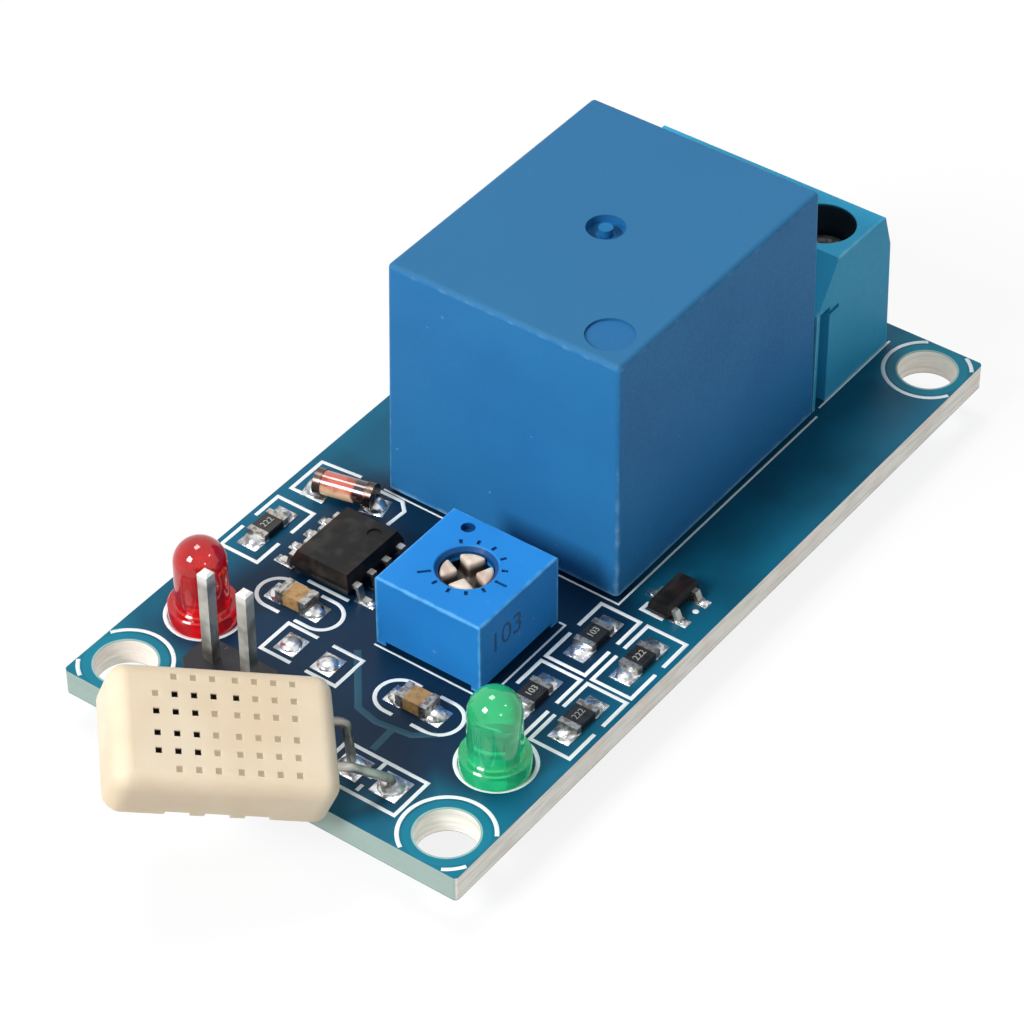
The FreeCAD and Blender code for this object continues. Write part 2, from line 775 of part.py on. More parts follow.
def relay_fixed_contact(label, lead, side, rivet_floor, arm_floor):
    """A lead, its upright strip beside the leaf, an arm across to the middle and a contact rivet."""
    half = "%srelay_pin_spread / 2" % side
    upright = relay_box("relay_pin_thickness", "contact_strip_width",
                        "%s + relay_pin_thickness - %s" % (arm_floor, RELAY_FLOOR),
                        "relay_switch_x", half, RELAY_FLOOR)
    reach = "(relay_pin_spread / 2 + contact_strip_width / 2 + rivet_radius)"
    arm = relay_box("2 * rivet_radius", reach, "relay_pin_thickness", "relay_switch_x",
                    "%s(%s / 2 - rivet_radius)" % (side, reach), arm_floor)
    rivet = relay_rod("rivet_radius", "rivet_height", "relay_switch_x", "0", rivet_floor)
    return keep(fuse(lead, upright, arm, rivet), label)


def relay():
    leads = relay_pins_and_strips()
    relay_cover()
    relay_base(leads)
    relay_yoke()
    relay_core()
    relay_bobbin()
    relay_winding()
    relay_armature()
    relay_moving_contact()
    relay_common_terminal(leads["common"])
    relay_fixed_contact("relay_closed_contact", leads["closed"], "", CLOSED_RIVET_FLOOR,
                        "(%s + rivet_height)" % CLOSED_RIVET_FLOOR)
    relay_fixed_contact("relay_open_contact", leads["open"], "-", "(%s - rivet_height)" % OPEN_RIVET_TOP,
                        "(%s - rivet_height - relay_pin_thickness)" % OPEN_RIVET_TOP)
    keep(leads["coil_1"], "relay_coil_pin_1")
    keep(leads["coil_2"], "relay_coil_pin_2")


# Screw terminal block

def terminal_housing():
    body = new_body("terminal_housing", TERMINAL_BACK, "relay_y", DECK)
    side = outline(sketch_on(body, "XZ"), [
        ("0", "0"),
        ("0", "terminal_back_height"),
        ("terminal_slope_run", "terminal_height"),
        ("terminal_depth - terminal_front_run", "terminal_height - terminal_front_drop"),
        ("terminal_depth - terminal_brow_run", "terminal_brow_height"),
        ("terminal_depth", "0")])
    pad(body, side, "2 * %s" % TERMINAL_HALF, symmetric=True)
    chambers = sketch_on(body, "YZ", "terminal_depth")
    for pole in POLES:
        rectangle(chambers, pole_y(pole), "terminal_floor + terminal_chamber_height / 2",
                  "terminal_chamber_width", "terminal_chamber_height")
    pocket(body, chambers, "terminal_depth - terminal_back_wall")
    wells = sketch_on(body, "XY", "terminal_height")
    for pole in POLES:
        circle(wells, "terminal_screw_x", pole_y(pole), "terminal_screw_hole_radius")
    pocket(body, wells, "terminal_height - %s" % WEB_TOP)
    throats = sketch_on(body, "XY", WEB_TOP)
    for pole in POLES:
        circle(throats, "terminal_screw_x", pole_y(pole), "screw_radius + running_gap")
    pocket(body, throats, "terminal_web + touch_gap")
    lead_slots = sketch_on(body, "XY")
    for pole in POLES:
        rectangle(lead_slots, STRIP_X, pole_y(pole), "strip_thickness + 2 * running_gap",
                  "terminal_pin_width + 2 * running_gap")
    pocket(body, lead_slots, "terminal_floor + touch_gap", reverse=True)
    joining_slot = rectangle(sketch_on(body, "XY"), "slot_inset + slot_width / 2",
                             "slot_depth / 2 - %s" % TERMINAL_HALF, "slot_width", "slot_depth")
    pocket(body, joining_slot, "terminal_back_height", reverse=True)
    tab = rectangle(sketch_on(body, "XZ", TERMINAL_HALF), "slot_inset + slot_width + tab_length / 2",
                    "terminal_back_height - 1.5 * tab_height", "tab_length", "tab_height")
    pocket(body, tab, "slot_depth / 2")
    joining_rail = rectangle(sketch_on(body, "XY"), "slot_inset + slot_width / 2",
                             "%s + (slot_depth - rail_clearance) / 2" % TERMINAL_HALF,
                             "slot_width - 2 * rail_clearance", "slot_depth - rail_clearance")
    pad(body, joining_rail, "terminal_back_height - rail_clearance")
    return keep(body, "terminal_housing")


def terminal_screw(index, pole):
    body = new_body("terminal_screw_%d" % index, "%s + terminal_screw_x" % TERMINAL_BACK,
                    "relay_y + " + pole_y(pole), DECK)
    seat = "(%s + running_gap)" % WEB_TOP
    top = "(%s + screw_head_height)" % seat
    side = outline(sketch_on(body, "XZ"), [
        ("0", CLAMP_ROOF),
        ("screw_radius - screw_tip_bevel", CLAMP_ROOF),
        ("screw_radius", "%s + screw_tip_bevel" % CLAMP_ROOF),
        ("screw_radius", seat),
        ("screw_head_radius", seat),
        ("screw_head_radius", "%s - screw_head_bevel" % top),
        ("screw_head_radius - screw_head_bevel", top),
        ("0", top)])
    revolve(body, side)
    slot = rectangle(sketch_on(body, "XY", top), "0", "0", "screw_slot_width", "2 * screw_head_radius + 1")
    pocket(body, slot, "screw_slot_depth")
    return keep(body, "terminal_screw_%d" % index)


def terminal_clamp(index, pole):
    body = new_body("terminal_clamp_%d" % index, "%s + terminal_screw_x" % TERMINAL_BACK,
                    "relay_y + " + pole_y(pole), "%s + %s" % (DECK, CLAMP_FLOOR))
    plan = rectangle(sketch_on(body, "XY"), "0", "0", "clamp_length", "clamp_width")
    pad(body, plan, "clamp_height")
    window_height = "(clamp_height - clamp_roof - clamp_floor)"
    window = rectangle(sketch_on(body, "YZ"), "0", "clamp_floor + %s / 2" % window_height,
                       "clamp_width - 2 * clamp_side", window_height)
    pocket(body, window, "clamp_length", symmetric=True)
    thread = circle(sketch_on(body, "XY", "clamp_height"), "0", "0", "screw_radius + running_gap")
    pocket(body, thread, "clamp_roof")
    return keep(body, "terminal_clamp_%d" % index)


def terminal_conductor(index, pole):
    """A board pin, the strip up behind the clamp and the tongue that the wire is pressed against."""
    y = "relay_y + " + pole_y(pole)
    x = "%s + %s" % (TERMINAL_BACK, STRIP_X)
    tongue_floor = "(%s - running_gap - strip_thickness)" % CLAMP_ROOF
    strip_floor = "(%s + terminal_floor + touch_gap)" % DECK
    pin = box("strip_thickness", "terminal_pin_width", "%s - %s" % (strip_floor, TAIL), x, y, TAIL)
    strip = box("strip_thickness", "strip_width",
                "%s + %s + strip_thickness - %s" % (DECK, tongue_floor, strip_floor), x, y, strip_floor)
    tongue_end = "(terminal_screw_x + clamp_length / 2)"
    tongue_start = "(%s - strip_thickness / 2)" % STRIP_X
    tongue = box("%s - %s" % (tongue_end, tongue_start), "strip_width", "strip_thickness",
                 "%s + (%s + %s) / 2" % (TERMINAL_BACK, tongue_start, tongue_end), y,
                 "%s + %s" % (DECK, tongue_floor))
    return keep(fuse(pin, strip, tongue), "terminal_conductor_%d" % index)


def terminal_block():
    terminal_housing()
    for index, pole in enumerate(POLES, start=1):
        terminal_screw(index, pole)
        terminal_clamp(index, pole)
        terminal_conductor(index, pole)


# Trimmer

def trimmer_housing():
    body = new_body("trimmer_housing", "trimmer_x", "trimmer_y", DECK)
    plan = rectangle(sketch_on(body, "XY", "trimmer_standoff"), "0", "0", "trimmer_side_x", "trimmer_side_y")
    block = pad(body, plan, "trimmer_height")
    upper = edges_where(block, lambda p: p.z > number("trimmer_standoff + trimmer_height / 2"))
    fillet(body, block, upper, "trimmer_edge_radius")
    cavity = rectangle(sketch_on(body, "XY", "trimmer_standoff"), "0", "0",
                       "trimmer_side_x - 2 * trimmer_wall", "trimmer_side_y - 2 * trimmer_wall")
    pocket(body, cavity, "trimmer_height - trimmer_roof", reverse=True)
    opening = circle(sketch_on(body, "XY", TRIMMER_TOP), "0", "0", "rotor_opening_radius")
    throat = pocket(body, opening, "trimmer_roof")
    rim = [name for name in edges_where(throat, lambda p: p.z > number(TRIMMER_TOP) - 1e-6)
           if math.hypot(*first_point(throat.Shape, name)) < number("rotor_opening_radius") + 1e-3]
    chamfer(body, throat, rim, "rotor_bevel")
    dial = sketch_on(body, "XY", TRIMMER_TOP)
    marks = int(number("dial_mark_count"))
    for mark in range(marks):
        angle = math.radians(DIAL_START + DIAL_SWEEP * mark / (marks - 1))
        long_mark = mark in (0, marks // 2)
        dial_mark(dial, angle, "dial_end_mark_length" if long_mark else "dial_mark_length")
    pocket(body, dial, "dial_mark_depth")
    pin_mark = circle(sketch_on(body, "XY", TRIMMER_TOP), "pin_mark_x", "pin_mark_y", "pin_mark_radius")
    pocket(body, pin_mark, "pin_mark_depth")
    for side_x in "-+":
        for side_y in "-+":
            foot = rectangle(sketch_on(body, "XY"),
                             "%s(trimmer_side_x / 2 - trimmer_wall / 2)" % side_x,
                             "%s(trimmer_side_y / 2 - trimmer_wall / 2)" % side_y,
                             "trimmer_wall", "trimmer_wall")
            pad(body, foot, "trimmer_standoff")
    return keep(body, "trimmer_housing")


def first_point(shape, edge_name):
    point = shape.Edges[int(edge_name[4:]) - 1].Vertexes[0].Point
    return point.x, point.y


def radial_bar(sketch, angle, start, end, half_width):
    """A bar along a ray from the sketch's origin, from one radius to another."""
    cosine, sine = math.cos(angle), math.sin(angle)
    corners = []
    for radius, side in ((start, -1), (end, -1), (end, 1), (start, 1)):
        corners.append(("%s * %.6f - %d * %s * %.6f" % (radius, cosine, side, half_width, sine),
                        "%s * %.6f + %d * %s * %.6f" % (radius, sine, side, half_width, cosine)))
    outline(sketch, corners)


def dial_mark(sketch, angle, length):
    """A short radial groove outline at an angle round the dial."""
    inner, outer = "dial_mark_radius", "(dial_mark_radius + %s)" % length
    radial_bar(sketch, angle, inner, outer, "dial_mark_width / 2")


def trimmer_rotor():
    body = new_body("trimmer_rotor", "trimmer_x", "trimmer_y", DECK)
    radius = "(rotor_opening_radius - running_gap)"
    floor = "(%s + wiper_thickness + running_gap)" % ELEMENT_TOP
    top = "(%s - rotor_recess)" % TRIMMER_TOP
    side = outline(sketch_on(body, "XZ"), [
        ("0", floor), ("rotor_flange_radius", floor), ("rotor_flange_radius", ROTOR_FLANGE_TOP),
        (radius, ROTOR_FLANGE_TOP), (radius, top), ("0", top)])
    revolve(body, side)
    for turn in (ROTOR_TURN, ROTOR_TURN + RIGHT_ANGLE):
        slot = sketch_on(body, "XY", top)
        slot_outline(slot, math.radians(turn))
        lobes = pocket(body, slot, "rotor_slot_depth")
    rims = edges_where(lobes, lambda p: p.z > number(top) - 1e-6)
    chamfer(body, lobes, rims, "rotor_lobe_bevel")
    return keep(body, "trimmer_rotor")


def slot_outline(sketch, angle):
    """A straight slot through the rotor's centre at an angle."""
    radial_bar(sketch, angle, "(-rotor_slot_length / 2)", "rotor_slot_length / 2", "rotor_slot_width / 2")


def trimmer():
    trimmer_housing()
    trimmer_rotor()
    floor = "%s + trimmer_standoff + element_lift" % DECK
    pins = []
    for x, y in TRIMMER_PINS:
        pins.append(rod("trimmer_pin_radius", "%s - touch_gap - %s" % (floor, TAIL),
                        "trimmer_x + (%s)" % x, "trimmer_y + (%s)" % y, TAIL))
    plate = box("trimmer_side_x - 2 * trimmer_wall - 2 * touch_gap",
                "trimmer_side_y - 2 * trimmer_wall - 2 * touch_gap",
                "element_thickness", "trimmer_x", "trimmer_y", floor)
    keep(plate, "trimmer_element")
    wiper_floor = "%s + %s + touch_gap" % (DECK, ELEMENT_TOP)
    keep(rod("wiper_radius", "wiper_thickness", "trimmer_x", "trimmer_y", wiper_floor), "trimmer_wiper")
    for index, pin in enumerate(pins, start=1):
        keep(pin, "trimmer_pin_%d" % index)


# Lamps

def lamp_lens_body(label, y):
    """A flanged round lens with a domed top and a flat on its flange."""
    body = new_body(label, "lamp_x", y, DECK)
    sketch = sketch_on(body, "XZ")
    shoulder = "lens_standoff + lens_flange_height"
    spring = "%s - lens_radius" % LENS_TOP
    points = [("0", "lens_standoff"), ("lens_flange_radius", "lens_standoff"),
              ("lens_flange_radius", shoulder), ("lens_radius", shoulder), ("lens_radius", spring)]
    start = [Vector(number(x), number(z), 0) for x, z in points]
    for first, second in zip(start, start[1:]):
        sketch.addGeometry(Part.LineSegment(first, second), False)
    centre = Vector(0, number(spring), 0)
    dome = Part.ArcOfCircle(Part.Circle(centre, Vector(0, 0, 1), number("lens_radius")), 0, math.pi / 2)
    dome_index = sketch.addGeometry(dome, False)
    axis_index = sketch.addGeometry(Part.LineSegment(Vector(0, number(LENS_TOP), 0), start[0]), False)
    for i in range(len(points) - 2):
        sketch.addConstraint(Sketcher.Constraint("Coincident", i, 2, i + 1, 1))
    sketch.addConstraint(Sketcher.Constraint("Coincident", dome_index - 1, 2, dome_index, 1))
    sketch.addConstraint(Sketcher.Constraint("Coincident", dome_index, 2, axis_index, 1))
    sketch.addConstraint(Sketcher.Constraint("Coincident", axis_index, 2, 0, 1))
    for i, (x, z) in enumerate(points[:-1]):
        pin_point(sketch, i, 1, x, z)
    pin_point(sketch, dome_index - 1, 2, *points[-1])
    pin_point(sketch, dome_index, 3, "0", spring)
    sketch.addConstraint(Sketcher.Constraint("PointOnObject", dome_index, 2, -2))
    revolve(body, sketch)
    flat = rectangle(sketch_on(body, "XY", "lens_standoff"), "0", "lens_flange_radius - lens_flat_inset / 2",
                     "2 * lens_flange_radius", "lens_flat_inset")
    pocket(body, flat, "lens_flange_height", reverse=True)
    return body


def lamp_lead(y, side, height):
    """A lead that comes up through the flange and jogs inward to stand clear of the lens's side."""
    lead_y = "%s %s lamp_lead_spread / 2" % (y, side)
    inner_y = "%s %s (lamp_lead_spread / 2 - lamp_lead_jog)" % (y, side)
    tail = box("lamp_lead_side", "lamp_lead_side",
               "%s + lens_standoff + lens_flange_height / 2 - %s" % (DECK, TAIL), "lamp_x", lead_y, TAIL)
    post = box("lamp_lead_side", "lamp_lead_side", "%s - lens_standoff" % height,
               "lamp_x", inner_y, "%s + lens_standoff" % DECK)
    return tail, post


def lamp(colour, y):
    anode = keep(fuse(*lamp_lead(y, "-", "anode_post_height")), colour + "_lamp_anode")
    outer_face = "(lamp_lead_spread / 2 - lamp_lead_jog + lamp_lead_side / 2)"
    reach = "(%s + cathode_cup_width / 2)" % outer_face
    cup = box("lamp_lead_side", reach, "cathode_cup_depth", "lamp_x",
              "%s + %s - %s / 2" % (y, outer_face, reach),
              "%s + cathode_cup_height - cathode_cup_depth" % DECK)
    cathode = keep(fuse(*lamp_lead(y, "+", "cathode_cup_height"), cup), colour + "_lamp_cathode")
    lens = cut(lamp_lens_body(colour + "_lens_blank", y), group(cathode, anode))
    keep(lens, colour + "_lamp_lens")


# Two-pin header

def header():
    pins = []
    for index, side in ((1, "-"), (2, "+")):
        body = new_body("header_pin_%d" % index, "header_x", "header_y %s header_pitch / 2" % side, TAIL)
        plan = rectangle(sketch_on(body, "XY"), "0", "0", "header_pin_side", "header_pin_side")
        stem = pad(body, plan, "%s + header_pin_height - %s" % (DECK, TAIL))
        doc.recompute()
        ends = [name for name in edges_where(stem, lambda p: True) if not is_upright(stem.Shape, name)]
        chamfer(body, stem, ends, "header_pin_chamfer")
        pins.append(keep(body, "header_pin_%d" % index))
    body = new_body("header_base_blank", "header_x", "header_y", DECK)
    near, far = "header_pitch / 2", "header_pitch"
    bevel = "header_chamfer"
    plan = []
    for sign_x, sign_y in ((1, 0), (1, 1), (-1, 1), (-1, 0), (-1, -1), (1, -1)):
        if sign_y == 0:
            plan.append(("%d * (%s - %s)" % (sign_x, near, bevel), "0"))
            continue
        corner = [("%d * %s" % (sign_x, near), "%d * %s" % (sign_y, bevel)),
                  ("%d * %s" % (sign_x, near), "%d * (%s - %s)" % (sign_y, far, bevel)),
                  ("%d * (%s - %s)" % (sign_x, near, bevel), "%d * %s" % (sign_y, far))]
        plan.extend(corner if sign_x == sign_y else reversed(corner))
    pad(body, outline(sketch_on(body, "XY"), plan), "header_base_height")
    keep(cut(body, group(*pins)), "header_base")


# Humidity sensor: its own frame lies in the middle of the perforated face, +X towards the leads

def sensor_placement():
    turn = Rotation(number("sensor_yaw"), number("sensor_pitch"), number("sensor_roll"))
    spot = Vector(number("sensor_x"), number("sensor_y"), number("%s + sensor_face_height" % DECK))
    return Placement(spot, turn)


def sensor_body(label):
    body = new_body(label, "sensor_x", "sensor_y", "%s + sensor_face_height" % DECK)
    body.Placement = sensor_placement()
    return body


def sensor_cover():
    body = sensor_body("sensor_cover")
    floor = "-sensor_thickness"
    plan = rectangle(sketch_on(body, "XY", floor), "0", "0", "sensor_length", "sensor_width")
    block = pad(body, plan, "sensor_thickness")
    low = number(floor) + 1e-6
    rim = edges_where(block, lambda p: p.z < low)
    fillet(body, block, [name for name in edges_where(block, lambda p: True) if name not in rim],
           "sensor_edge_radius")
    cavity = rectangle(sketch_on(body, "XY", floor), "0", "0",
                       "sensor_length - 2 * sensor_wall", "sensor_width - 2 * sensor_wall")
    pocket(body, cavity, "sensor_thickness - sensor_wall", reverse=True)
    columns, rows = int(number("sensor_hole_columns")), int(number("sensor_hole_rows"))
    for row in range(rows):
        holes = sketch_on(body, "XY")
        # The two corners away from the leads have no hole.
        first_column = 1 if row in (0, rows - 1) else 0
        for column in range(first_column, columns):
            rectangle(holes, grid_place(column, columns, "sensor_hole_column_gap"),
                      grid_place(row, rows, "sensor_hole_row_gap"), "sensor_hole_side", "sensor_hole_side")
        pocket(body, holes, "2 * sensor_wall")
    vents = sketch_on(body, "XY", floor)
    for vent in POLES:
        rectangle(vents, "%d * sensor_vent_pitch" % vent, "0", "sensor_vent_width", "sensor_width + 1")
    pocket(body, vents, "sensor_vent_depth", reverse=True)
    exits = sketch_on(body, "YZ", "sensor_length / 2")
    for side in "-+":
        circle(exits, "%s sensor_lead_spread / 2" % side, SENSOR_WIRE_LEVEL, "sensor_lead_radius + touch_gap")
    pocket(body, exits, "2 * sensor_wall")
    return keep(body, "sensor_cover")


def grid_place(index, count, gap):
    """The place of a hole in a row of the grid, which has a wider gap at its middle."""
    half_gap = "%d * %s / 2" % (1 if index >= count / 2 else -1, gap)
    return "%.1f * sensor_hole_pitch + %s" % (index - (count - 1) / 2, half_gap)


SENSOR_BACK_TOP = "(-sensor_thickness + sensor_vent_depth + sensor_back_thickness)"
SENSOR_ELEMENT_TOP = "(%s + touch_gap + sensor_element_thickness)" % SENSOR_BACK_TOP
SENSOR_WIRE_LEVEL = "(%s + sensor_lead_radius)" % SENSOR_ELEMENT_TOP


def sensor_back():
    body = sensor_body("sensor_back")
    inset = "2 * (sensor_wall + sensor_back_clearance)"
    plan = rectangle(sketch_on(body, "XY", "%s - sensor_back_thickness" % SENSOR_BACK_TOP), "0", "0",
                     "sensor_length - " + inset, "sensor_width - " + inset)
    pad(body, plan, "sensor_back_thickness")
    return keep(body, "sensor_back")


def sensor_element():
    body = sensor_body("sensor_element")
    plan = rectangle(sketch_on(body, "XY", "%s + touch_gap" % SENSOR_BACK_TOP), "0", "0",
                     "sensor_element_length", "sensor_element_width")
    pad(body, plan, "sensor_element_thickness")
    return keep(body, "sensor_element")


def bent_wire(points, bend, radius):
    """A round wire along straight runs joined by tangent arcs."""
    edges = []
    start = points[0]
    for before, corner, after in zip(points, points[1:], points[2:]):
        back = (before - corner).normalize()
        ahead = (after - corner).normalize()
        half_turn = (math.pi - back.getAngle(ahead)) / 2
        setback = bend * math.tan(half_turn)
        first, last = corner + back * setback, corner + ahead * setback
        middle_way = (back + ahead).normalize()
        middle = corner + middle_way * (bend / math.cos(half_turn) - bend)
        edges.append(Part.LineSegment(start, first).toShape())
        edges.append(Part.Arc(first, middle, last).toShape())
        start = last
    edges.append(Part.LineSegment(start, points[-1]).toShape())
    path = Part.Wire(edges)
    section = Part.Wire([Part.Circle(points[0], points[1] - points[0], radius).toShape()])
    return path.makePipeShell([section], True, True)


def sensor_lead(index, side):
    """A lead from the element, out of the end of the case, bent down to its pad and through the board."""
    where = sensor_placement()
    across = side * number("sensor_lead_spread / 2")
    level = number(SENSOR_WIRE_LEVEL)
    radius = number("sensor_lead_radius")
    inside = where.multVec(Vector(number("sensor_element_length / 2 - sensor_lead_run_in"), across, level))
    outside = where.multVec(Vector(number("sensor_length / 2 + sensor_lead_run_out"), across, level))
    pad_x, pad_y = number("sensor_pad_x"), number("sensor_pad_y") + across
    over_pad = Vector(pad_x, pad_y, number("%s + sensor_lead_knee_height" % DECK))
    tail = Vector(pad_x, pad_y, number(TAIL))
    piece = doc.addObject("Part::Feature", "sensor_lead_%d" % index)
    piece.Shape = bent_wire([inside, outside, over_pad, tail], number("sensor_lead_bend"), radius)
    return keep(piece, "sensor_lead_%d" % index)


def sensor():
    sensor_cover()
    sensor_back()
    sensor_element()
    sensor_lead(1, -1)
    sensor_lead(2, 1)


# Moulded chips with gull-wing leads

def moulded_body(label, x, y, prefix, shoulder):
    """A chip body that tapers up and down from a narrow band at lead height."""
    body = new_body(label, x, y, DECK)
    length, width, draft = prefix + "_length", prefix + "_width", prefix + "_draft"
    lift, height = prefix + "_lift", prefix + "_height"
    levels = [(lift, draft), ("%s - lead_foil / 2" % shoulder, "0"), ("%s + lead_foil / 2" % shoulder, "0"),
              ("%s + %s" % (lift, height), draft)]
    sections = []
    for level, inset in levels:
        sections.append(rectangle(sketch_on(body, "XY", level), "0", "0",
                                  "%s - 2 * %s" % (length, inset), "%s - 2 * %s" % (width, inset)))
    loft(body, sections)
    return body


def gull_lead(body, prefix, x, side, shoulder):
    """One lead: out of the body at lead height, down, and a foot on its pad."""
    face, tip = "%s_width / 2" % prefix, "%s_lead_span / 2" % prefix
    knee = "(%s - %s_lead_foot)" % (tip, prefix)
    half = "lead_foil / 2"
    profile = [
        (face, "%s + %s" % (shoulder, half)),
        ("%s - lead_foil / 4" % knee, "%s + %s" % (shoulder, half)),
        ("%s + lead_foil * 0.75" % knee, "lead_foil"),
        (tip, "lead_foil"),
        (tip, "0"),
        (knee, "0"),
        ("%s - lead_foil" % knee, "%s - %s" % (shoulder, half)),
        (face, "%s - %s" % (shoulder, half)),
    ]
    sketch = sketch_on(body, "YZ", x)
    outline(sketch, [("%d * (%s)" % (side, across), up) for across, up in profile])
    pad(body, sketch, prefix + "_lead_width", symmetric=True)


def comparator():
    shoulder = "(comparator_lift + comparator_height / 2)"
    body = moulded_body("comparator_body", "comparator_x", "comparator_y", "comparator", shoulder)
    dot = circle(sketch_on(body, "XY", "comparator_lift + comparator_height"),
                 "comparator_length / 2 - comparator_dot_inset",
                 "comparator_dot_inset - comparator_width / 2", "comparator_dot_radius")
    pocket(body, dot, "comparator_dot_depth")
    keep(body, "comparator_body")
    leads = new_body("comparator_leads", "comparator_x", "comparator_y", DECK)
    for place, side in COMPARATOR_LEADS:
        gull_lead(leads, "comparator", "%.1f * comparator_lead_pitch" % place, side, shoulder)
    keep(leads, "comparator_leads")


def transistor():
    shoulder = "(transistor_lift + transistor_height / 2)"
    body = moulded_body("transistor_body", "transistor_x", "transistor_y", "transistor", shoulder)
    keep(body, "transistor_body")
    leads = new_body("transistor_leads", "transistor_x", "transistor_y", DECK)
    for place, side in TRANSISTOR_LEADS:
        gull_lead(leads, "transistor", "%d * transistor_lead_pitch" % place, side, shoulder)
    keep(leads, "transistor_leads")


# Chip resistors, capacitors and the glass diode

def chip(label, thickness, x, y, turn):
    """A chip with a core and two wrapped end caps, lying on the board."""
    core = box("chip_length - 2 * chip_cap_skin", "chip_width - 2 * chip_cap_skin",
               "%s - 2 * chip_cap_skin" % thickness, "0", "0", "chip_cap_skin")
    caps = [box("chip_cap_length", "chip_width", thickness,
                "%s(chip_length - chip_cap_length) / 2" % side, "0", "0") for side in "-+"]
    whole = fuse(core, *caps)
    whole.Placement = Placement(Vector(x, y, 0), Rotation(Vector(0, 0, 1), turn))
    bind(whole, "Placement.Base.z", DECK)
    return keep(whole, label)


def diode():
    glass_length = "(diode_length - 2 * diode_cap_length)"
    lying = Rotation(Vector(0, 0, 1), number("diode_turn")) * Rotation(Vector(0, 1, 0), 90)
    centre = Vector(number("diode_x"), number("diode_y"), number("%s + diode_cap_radius" % DECK))
    glass = rod("diode_radius", glass_length, z="-%s / 2" % glass_length)
    caps = [rod("diode_cap_radius", "diode_cap_length", z=z)
            for z in ("-diode_length / 2", "diode_length / 2 - diode_cap_length")]
    glass_node, cap_node = group(glass), group(*caps)
    for node in (glass_node, cap_node):
        node.Placement = Placement(centre, lying)
    keep(glass_node, "diode_glass")
    keep(cap_node, "diode_caps")


# Solder

def fillet_wedge(spot, turn, width, run, height):
    """A sloped run of solder from a chip's end down to its pad; spot is on the chip's end face."""
    face = Part.Face(Part.makePolygon([Vector(0, -width / 2, 0), Vector(run, -width / 2, 0),
                                       Vector(run * SOLDER_DIP, -width / 2, height * SOLDER_DIP),
                                       Vector(0, -width / 2, height), Vector(0, -width / 2, 0)]))
    wedge = face.extrude(Vector(0, width, 0))
    wedge.Placement = Placement(spot, Rotation(Vector(0, 0, 1), turn))
    return wedge


def chip_ends(x, y, turn):
    """The two end faces of a chip: place on the deck and outward turn."""
    half = number("chip_length / 2")
    deck = number(DECK)
    for outward in (turn, turn + 2 * RIGHT_ANGLE):
        ray = Vector(math.cos(math.radians(outward)), math.sin(math.radians(outward)), 0)
        yield Vector(x, y, deck) + ray * half, outward


def flat_ring(x, y, z, radius):
    """The corners of a regular outline, with the first again at the end."""
    turns = [2 * math.pi * step / SOLDER_SIDES for step in range(SOLDER_SIDES + 1)]
    return [Vector(x + radius * math.cos(turn), y + radius * math.sin(turn), z) for turn in turns]


def flat_sided(rings):
    """A solid with flat sides between outlines that lie one above another, lowest first."""
    outlines = [rings[0], rings[-1]]
    for lower, upper in zip(rings, rings[1:]):
        for a, b, c, d in zip(lower, lower[1:], upper[1:], upper):
            outlines.append([a, b, c, d, a])
    shell = Part.makeShell([Part.Face(Part.makePolygon(corners)) for corners in outlines])
    shell.sewShape()
    solid = Part.makeSolid(Part.Shell(shell.Faces))
    return solid if solid.Volume > 0 else solid.reversed()


def solder_bump(x, y):
    """A low mound of solder on a bare pad."""
    radius, height, deck = number("spare_pad_radius"), number("spare_mound_height"), number(DECK)
    return flat_sided([flat_ring(x, y, deck + height * level_share, radius * radius_share)
                       for level_share, radius_share in MOUND_RINGS])


def deck_solder():
    width, run = number("chip_width"), number("fillet_run")
    lumps = []
    for places, thickness in ((RESISTORS, "resistor_thickness"), (CAPACITORS, "capacitor_thickness")):
        for x, y, turn in places.values():
            for spot, outward in chip_ends(x, y, turn):
                lumps.append(fillet_wedge(spot, outward, width, run, number(thickness) * SOLDER_CLIMB))
    half = number("diode_length / 2")
    diode_turn = number("diode_turn")
    for outward in (diode_turn, diode_turn + 2 * RIGHT_ANGLE):
        ray = Vector(math.cos(math.radians(outward)), math.sin(math.radians(outward)), 0)
        spot = Vector(number("diode_x"), number("diode_y"), number(DECK)) + ray * half
        lumps.append(fillet_wedge(spot, outward, width, number("diode_fillet_run"), number("diode_radius")))
    for x, y in SPARE_PADS:
        lumps.append(solder_bump(x, y))
    for place, side in COMPARATOR_LEADS:
        lumps.append(lead_wedge("comparator", number("comparator_lead_pitch") * place, side))
    for place, side in TRANSISTOR_LEADS:
        lumps.append(lead_wedge("transistor", number("transistor_lead_pitch") * place, side))
    piece = doc.addObject("Part::Feature", "deck_solder")
    piece.Shape = Part.makeCompound(lumps)
    return keep(piece, "deck_solder")


def lead_wedge(prefix, x, side):
    """The small heel of solder at the tip of a gull-wing lead."""
    tip = number("%s_lead_span / 2" % prefix) * side
    spot = Vector(number(prefix + "_x") + x, number(prefix + "_y") + tip, number(DECK))
    width, run, foil = number(prefix + "_lead_width"), number("lead_fillet_run"), number("lead_foil")
    return fillet_wedge(spot, RIGHT_ANGLE * side, width, run, foil)


def joint_solder(leads):
    """A cone of solder round each lead, underneath."""
    cones = []
    for x, y, section in through_leads():
        tip_radius = number("%s + joint_tip" % lead_reach(section))
        cones.append(flat_sided([
            flat_ring(number(x), number(y), -number("joint_height"), tip_radius),
            flat_ring(number(x), number(y), 0, number("joint_radius"))]))
    blank = doc.addObject("Part::Feature", "cones")
    blank.Shape = Part.makeCompound(cones)
    return keep(cut(blank, group(*leads)), "joint_solder")


def through_pieces():
    """The finished pieces whose tails reach through the board."""
    tail = number(TAIL)
    return [piece for piece in pieces if piece.Shape.BoundBox.ZMin < tail + 0.01]


# The whole module

